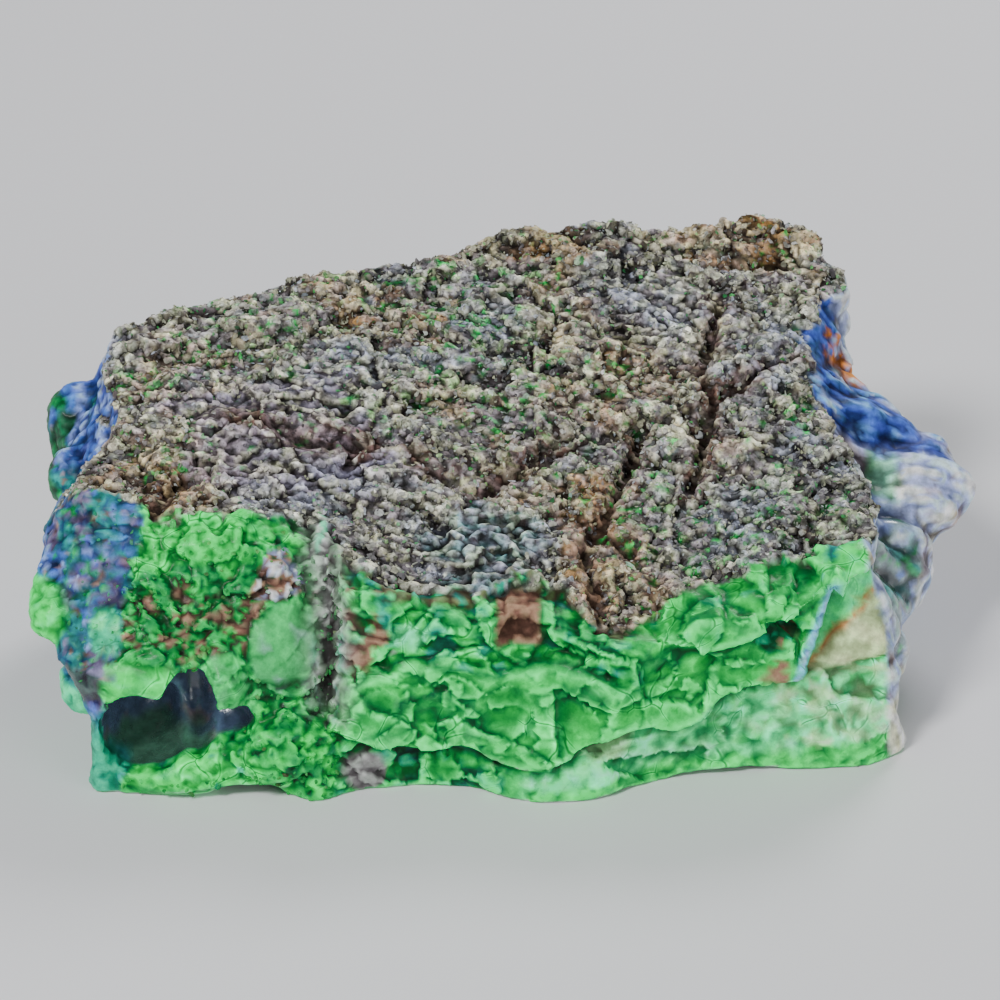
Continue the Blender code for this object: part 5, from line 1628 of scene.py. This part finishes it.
def scatter_tree() -> bpy.types.NodeTree:
    """Build the Geometry Nodes tree that scatters small flattened grains over a surface.

    Returns:
        The tree, with the surface and the named sizes going in and the grains coming out as mesh.
    """
    tree = bpy.data.node_groups.new("grain_scatter", "GeometryNodeTree")
    face = tree.interface
    face.new_socket("Geometry", in_out="INPUT", socket_type="NodeSocketGeometry")
    for name, value in (
        ("Grains per Area", 1.0e6), ("Size", 0.0008), ("Smallest", 0.5), ("Flatness", 0.45), ("Sink", 0.0002),
        ("Roughen", 0.0002),
    ):
        face.new_socket(name, in_out="INPUT", socket_type="NodeSocketFloat").default_value = value
    face.new_socket("Seed", in_out="INPUT", socket_type="NodeSocketInt").default_value = 1
    face.new_socket("Material", in_out="INPUT", socket_type="NodeSocketMaterial")
    face.new_socket("Geometry", in_out="OUTPUT", socket_type="NodeSocketGeometry")
    bench = Bench(tree)
    given = bench.add("NodeGroupInput").outputs
    cover = bench.add("GeometryNodeInputNamedAttribute", {"Name": "cover"}, data_type="FLOAT").outputs[0]
    density = bench.sum("MULTIPLY", cover, given["Grains per Area"])
    points = bench.add("GeometryNodeDistributePointsOnFaces", {
        "Mesh": given["Geometry"], "Density": density, "Seed": given["Seed"],
    })
    spin = bench.add("FunctionNodeRandomValue", {
        0: (-0.38, -0.38, 0.0), 1: (0.38, 0.38, 6.283), "Seed": given["Seed"],
    }, data_type="FLOAT_VECTOR").outputs[0]
    turned = bench.add("FunctionNodeRotateRotation", {
        "Rotation": points.outputs["Rotation"],
        "Rotate By": bench.add("FunctionNodeEulerToRotation", {0: spin}).outputs[0],
    }, rotation_space="LOCAL").outputs[0]
    seed_two = bench.add("ShaderNodeMath", {0: given["Seed"], 1: 7.0}, operation="ADD").outputs[0]
    stretch = bench.add("FunctionNodeRandomValue", {
        0: (0.55, 0.55, 0.6), 1: (1.45, 1.0, 1.3), "Seed": seed_two,
    }, data_type="FLOAT_VECTOR").outputs[0]
    size = bench.add("FunctionNodeRandomValue", {
        2: given["Smallest"], 3: 1.0, "Seed": given["Seed"],
    }, data_type="FLOAT").outputs[1]
    size = bench.sum("MULTIPLY", size, given["Size"])
    scale = bench.add("ShaderNodeVectorMath", {0: stretch, "Scale": size}, operation="SCALE").outputs[0]
    flat = bench.add("ShaderNodeCombineXYZ", {0: 1.0, 1: 1.0, 2: given["Flatness"]}).outputs[0]
    scale = bench.add("ShaderNodeVectorMath", {0: scale, 1: flat}, operation="MULTIPLY").outputs[0]
    ball = bench.add("GeometryNodeMeshIcoSphere", {"Radius": 0.5, "Subdivisions": 1}).outputs[0]
    grains = bench.add("GeometryNodeInstanceOnPoints", {
        "Points": points.outputs["Points"], "Instance": ball, "Rotation": turned, "Scale": scale,
    }).outputs[0]
    shade = bench.add("FunctionNodeRandomValue", {
        2: 0.0, 3: 1.0, "Seed": seed_two,
    }, data_type="FLOAT").outputs[1]
    grains = bench.add("GeometryNodeStoreNamedAttribute", {
        "Geometry": grains, "Name": "shade", "Value": shade,
    }, data_type="FLOAT", domain="INSTANCE").outputs[0]
    grains = bench.add("GeometryNodeRealizeInstances", {"Geometry": grains}).outputs[0]
    noise = bench.add("ShaderNodeTexNoise", {"Scale": 1400.0, "Detail": 1.0}).outputs["Color"]
    centred = bench.add("ShaderNodeVectorMath", {
        0: noise, 1: (0.5, 0.5, 0.5),
    }, operation="SUBTRACT").outputs[0]
    push = bench.sum("MULTIPLY", given["Roughen"], 4.0)
    offset = bench.add("ShaderNodeVectorMath", {0: centred, "Scale": push}, operation="SCALE").outputs[0]
    sunk = bench.add("ShaderNodeCombineXYZ", {2: bench.sum("MULTIPLY", given["Sink"], -1.0)}).outputs[0]
    offset = bench.add("ShaderNodeVectorMath", {0: offset, 1: sunk}, operation="ADD").outputs[0]
    grains = bench.add("GeometryNodeSetPosition", {"Geometry": grains, "Offset": offset}).outputs[0]
    grains = bench.add("GeometryNodeSetMaterial", {
        "Geometry": grains, "Material": given["Material"],
    }).outputs[0]
    bench.add("NodeGroupOutput", {"Geometry": grains})
    return tree


@dataclass(frozen=True)
class GrainCover:
    """One kind of grain scattered over part of the stone."""

    name: str
    zone: str
    finish: GrainFinish
    per_area: float
    size: float
    smallest: float
    flatness: float
    sink: float
    roughen: float
    seed: int

    def build(
        self, stone: bpy.types.Object, tree: bpy.types.NodeTree, mottle: bpy.types.NodeTree,
    ) -> bpy.types.Object:
        """Scatter the grains over the stone's surface.

        Args:
            stone: the stone with its attributes.
            tree: the scatter tree.
            mottle: the shader group for fine variation.

        Returns:
            The grains as one plain mesh object.
        """
        grains = in_scene(self.name, surface_part(stone.data, self.zone))
        modifier = grains.modifiers.new("scatter", "NODES")
        modifier.node_group = tree
        sockets = {item.name: item.identifier for item in tree.interface.items_tree if item.in_out == "INPUT"}
        for name, value in (
            ("Grains per Area", self.per_area / MM / MM), ("Size", self.size * MM),
            ("Smallest", self.smallest), ("Flatness", self.flatness), ("Sink", self.sink * MM),
            ("Roughen", self.roughen * MM), ("Seed", self.seed), ("Material", self.finish.material(mottle)),
        ):
            modifier[sockets[name]] = value
        ready = made_plain(grains)
        keep_inside(ready)
        ready.shade_flat()
        return grains


def surface_part(mesh: bpy.types.Mesh, zone: str) -> bpy.types.Mesh:
    """Copy the faces that a zone covers, with their colours and how thickly grains lie there.

    Args:
        mesh: the stone's mesh.
        zone: the name of the attribute that says how thickly grains lie.

    Returns:
        A new mesh with the attributes tint and cover.
    """
    points = read(mesh.vertices, "co", 3)
    cover = read(mesh.attributes[zone].data, "value", 1)[:, 0]
    tint = read(mesh.attributes["tint"].data, "color", 4)[:, :3]
    corners = np.empty(len(mesh.loops), np.int64)
    mesh.loops.foreach_get("vertex_index", corners)
    faces = corners.reshape(-1, 3)
    faces = faces[cover[faces].mean(axis=1) > LEAST_COVER]
    used, renumbered = np.unique(faces, return_inverse=True)
    part = bpy.data.meshes.new("ground")
    part.from_pydata(points[used].tolist(), [], renumbered.reshape(-1, 3).tolist())
    store_number(part, "cover", cover[used])
    store_colour(part, "tint", tint[used])
    return part


def keep_inside(mesh: bpy.types.Mesh) -> None:
    """Hold a mesh's points inside the solid's box."""
    low, high = (np.array(corner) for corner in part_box(NODE))
    points = np.clip(read(mesh.vertices, "co", 3), low, high)
    mesh.vertices.foreach_set("co", points.ravel())
    mesh.update()


@dataclass
class Specimen:
    """The whole stone: its skin and the grains on it."""

    skin: StoneSkin = field(default_factory=StoneSkin)
    finish: StoneFinish = field(default_factory=StoneFinish)
    covers: tuple[GrainCover, ...] = (
        GrainCover(
            "crust_grains", "cover",
            GrainFinish("crust_grain", (
                (0.0, (0.016, 0.014, 0.016)), (0.3, (0.075, 0.070, 0.080)), (0.52, (0.22, 0.22, 0.24)),
                (0.74, (0.44, 0.45, 0.36)), (0.9, (0.70, 0.76, 0.44)), (1.0, (0.66, 0.76, 0.86)),
            ), 0.55),
            per_area=1.05, size=0.78, smallest=0.4, flatness=0.30, sink=0.02, roughen=0.24, seed=11,
        ),
        GrainCover(
            "crust_scales", "cover",
            GrainFinish("crust_scale", (
                (0.0, (0.024, 0.020, 0.024)), (0.25, (0.12, 0.11, 0.125)), (0.55, (0.29, 0.29, 0.30)),
                (0.82, (0.58, 0.60, 0.40)), (1.0, (0.52, 0.60, 0.74)),
            ), 0.5, 0.7),
            per_area=0.90, size=1.3, smallest=0.45, flatness=0.16, sink=0.0, roughen=0.2, seed=23,
        ),
        GrainCover(
            "crust_flakes", "cover",
            GrainFinish("crust_flake", (
                (0.0, (0.020, 0.018, 0.020)), (0.3, (0.10, 0.095, 0.105)), (0.6, (0.30, 0.31, 0.30)),
                (0.85, (0.64, 0.68, 0.42)), (1.0, (0.62, 0.72, 0.82)),
            ), 0.5, 0.7),
            per_area=1.05, size=0.62, smallest=0.4, flatness=0.20, sink=-0.05, roughen=0.2, seed=71,
        ),
        GrainCover(
            "green_specks", "cover",
            GrainFinish("green_speck", (
                (0.0, (0.005, 0.07, 0.03)), (0.45, (0.01, 0.25, 0.06)), (0.8, (0.05, 0.50, 0.09)),
                (1.0, (0.40, 0.66, 0.24)),
            ), 0.6, 0.5, 0.05),
            per_area=0.20, size=0.8, smallest=0.4, flatness=0.3, sink=-0.1, roughen=0.16, seed=37,
        ),
        GrainCover(
            "block_nodules", "block",
            GrainFinish("block_nodule", (
                (0.0, (0.004, 0.07, 0.025)), (0.3, (0.002, 0.22, 0.05)), (0.6, (0.0, 0.42, 0.05)),
                (0.85, (0.03, 0.46, 0.08)), (1.0, (0.16, 0.085, 0.06)),
            ), 0.45, 0.55, 0.08),
            per_area=0.7, size=1.1, smallest=0.4, flatness=0.4, sink=0.25, roughen=0.14, seed=53,
        ),
    )

    def build(self) -> None:
        """Build the skin, then the grains, and tie each piece to the frame."""
        mottle = stone_mottle_group()
        stone = self.skin.build()
        stone.data.materials.append(self.finish.material(mottle))
        self.place(stone)
        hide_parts(NODE)
        tree = scatter_tree()
        for cover in self.covers:
            self.place(cover.build(stone, tree, mottle))

    @staticmethod
    def place(piece: bpy.types.Object) -> None:
        """Let a piece ride on the stone's body, and report its triangles."""
        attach(piece, BODY)
        piece.data.calc_loop_triangles()
        log.info("%s: %d triangles", piece.name, len(piece.data.loop_triangles))


@dataclass(frozen=True)
class SoftLight:
    """One large soft lamp: where it stands, how large it is and its power in watts."""

    name: str
    place: Point
    size: float
    power: float

    def build(self, aim: Vector) -> None:
        """Set up the lamp, turned towards aim."""
        lamp = bpy.data.lights.new(self.name, "AREA")
        lamp.shape = "DISK"
        lamp.size = self.size
        lamp.energy = self.power
        stand = in_scene(self.name, lamp)
        stand.location = self.place
        stand.rotation_mode = "QUATERNION"
        stand.rotation_quaternion = (aim - stand.location).to_track_quat("-Z", "Y")


@dataclass
class Studio:
    """Pale floor, soft light and the camera at the photograph's viewing angle."""

    aim: Point = (-0.001, 0.004, 0.021)
    distance: float = 0.52
    elevation: float = 28.0
    view_width: float = 0.1385
    sensor: float = 36.0
    floor_size: float = 6.0
    sky: tuple[float, float, float, float] = (0.20, 0.205, 0.22, 1.0)
    lights: tuple[SoftLight, ...] = (
        SoftLight("key", (-0.38, -0.46, 0.66), 0.22, 6.4),
        SoftLight("fill", (0.55, -0.62, 0.26), 0.5, 2.0),
        SoftLight("rim", (0.25, 0.62, 0.56), 0.3, 4.0),
    )

    def build(self) -> None:
        """Lay the floor and set up the lamps, the surrounding light and the camera."""
        half = self.floor_size / 2
        mesh = bpy.data.meshes.new("floor")
        corners = [(-half, -half, 0), (half, -half, 0), (half, half, 0), (-half, half, 0)]
        mesh.from_pydata(corners, [], [(0, 1, 2, 3)])
        floor = in_scene("floor", mesh)
        mesh.materials.append(FloorFinish().material())
        aim = Vector(self.aim)
        for light in self.lights:
            light.build(aim)
        world = bpy.data.worlds.new("studio")
        world.use_nodes = True
        world.node_tree.nodes["Background"].inputs["Color"].default_value = self.sky
        bpy.context.scene.world = world
        lens = bpy.data.cameras.new("camera")
        lens.sensor_width = self.sensor
        lens.lens = self.sensor * self.distance / self.view_width
        camera = in_scene("camera", lens)
        rise = math.radians(self.elevation)
        back = Vector((0.0, -math.cos(rise), math.sin(rise)))
        camera.location = aim + back * self.distance
        camera.rotation_mode = "QUATERNION"
        camera.rotation_quaternion = (-back).to_track_quat("-Z", "Y")
        bpy.context.scene.camera = camera


def main() -> None:
    """Load the frame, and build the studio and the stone."""
    logging.basicConfig(level=logging.INFO, format="%(name)s %(message)s")
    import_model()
    Studio().build()
    Specimen().build()


if __name__ == "__main__":
    main()
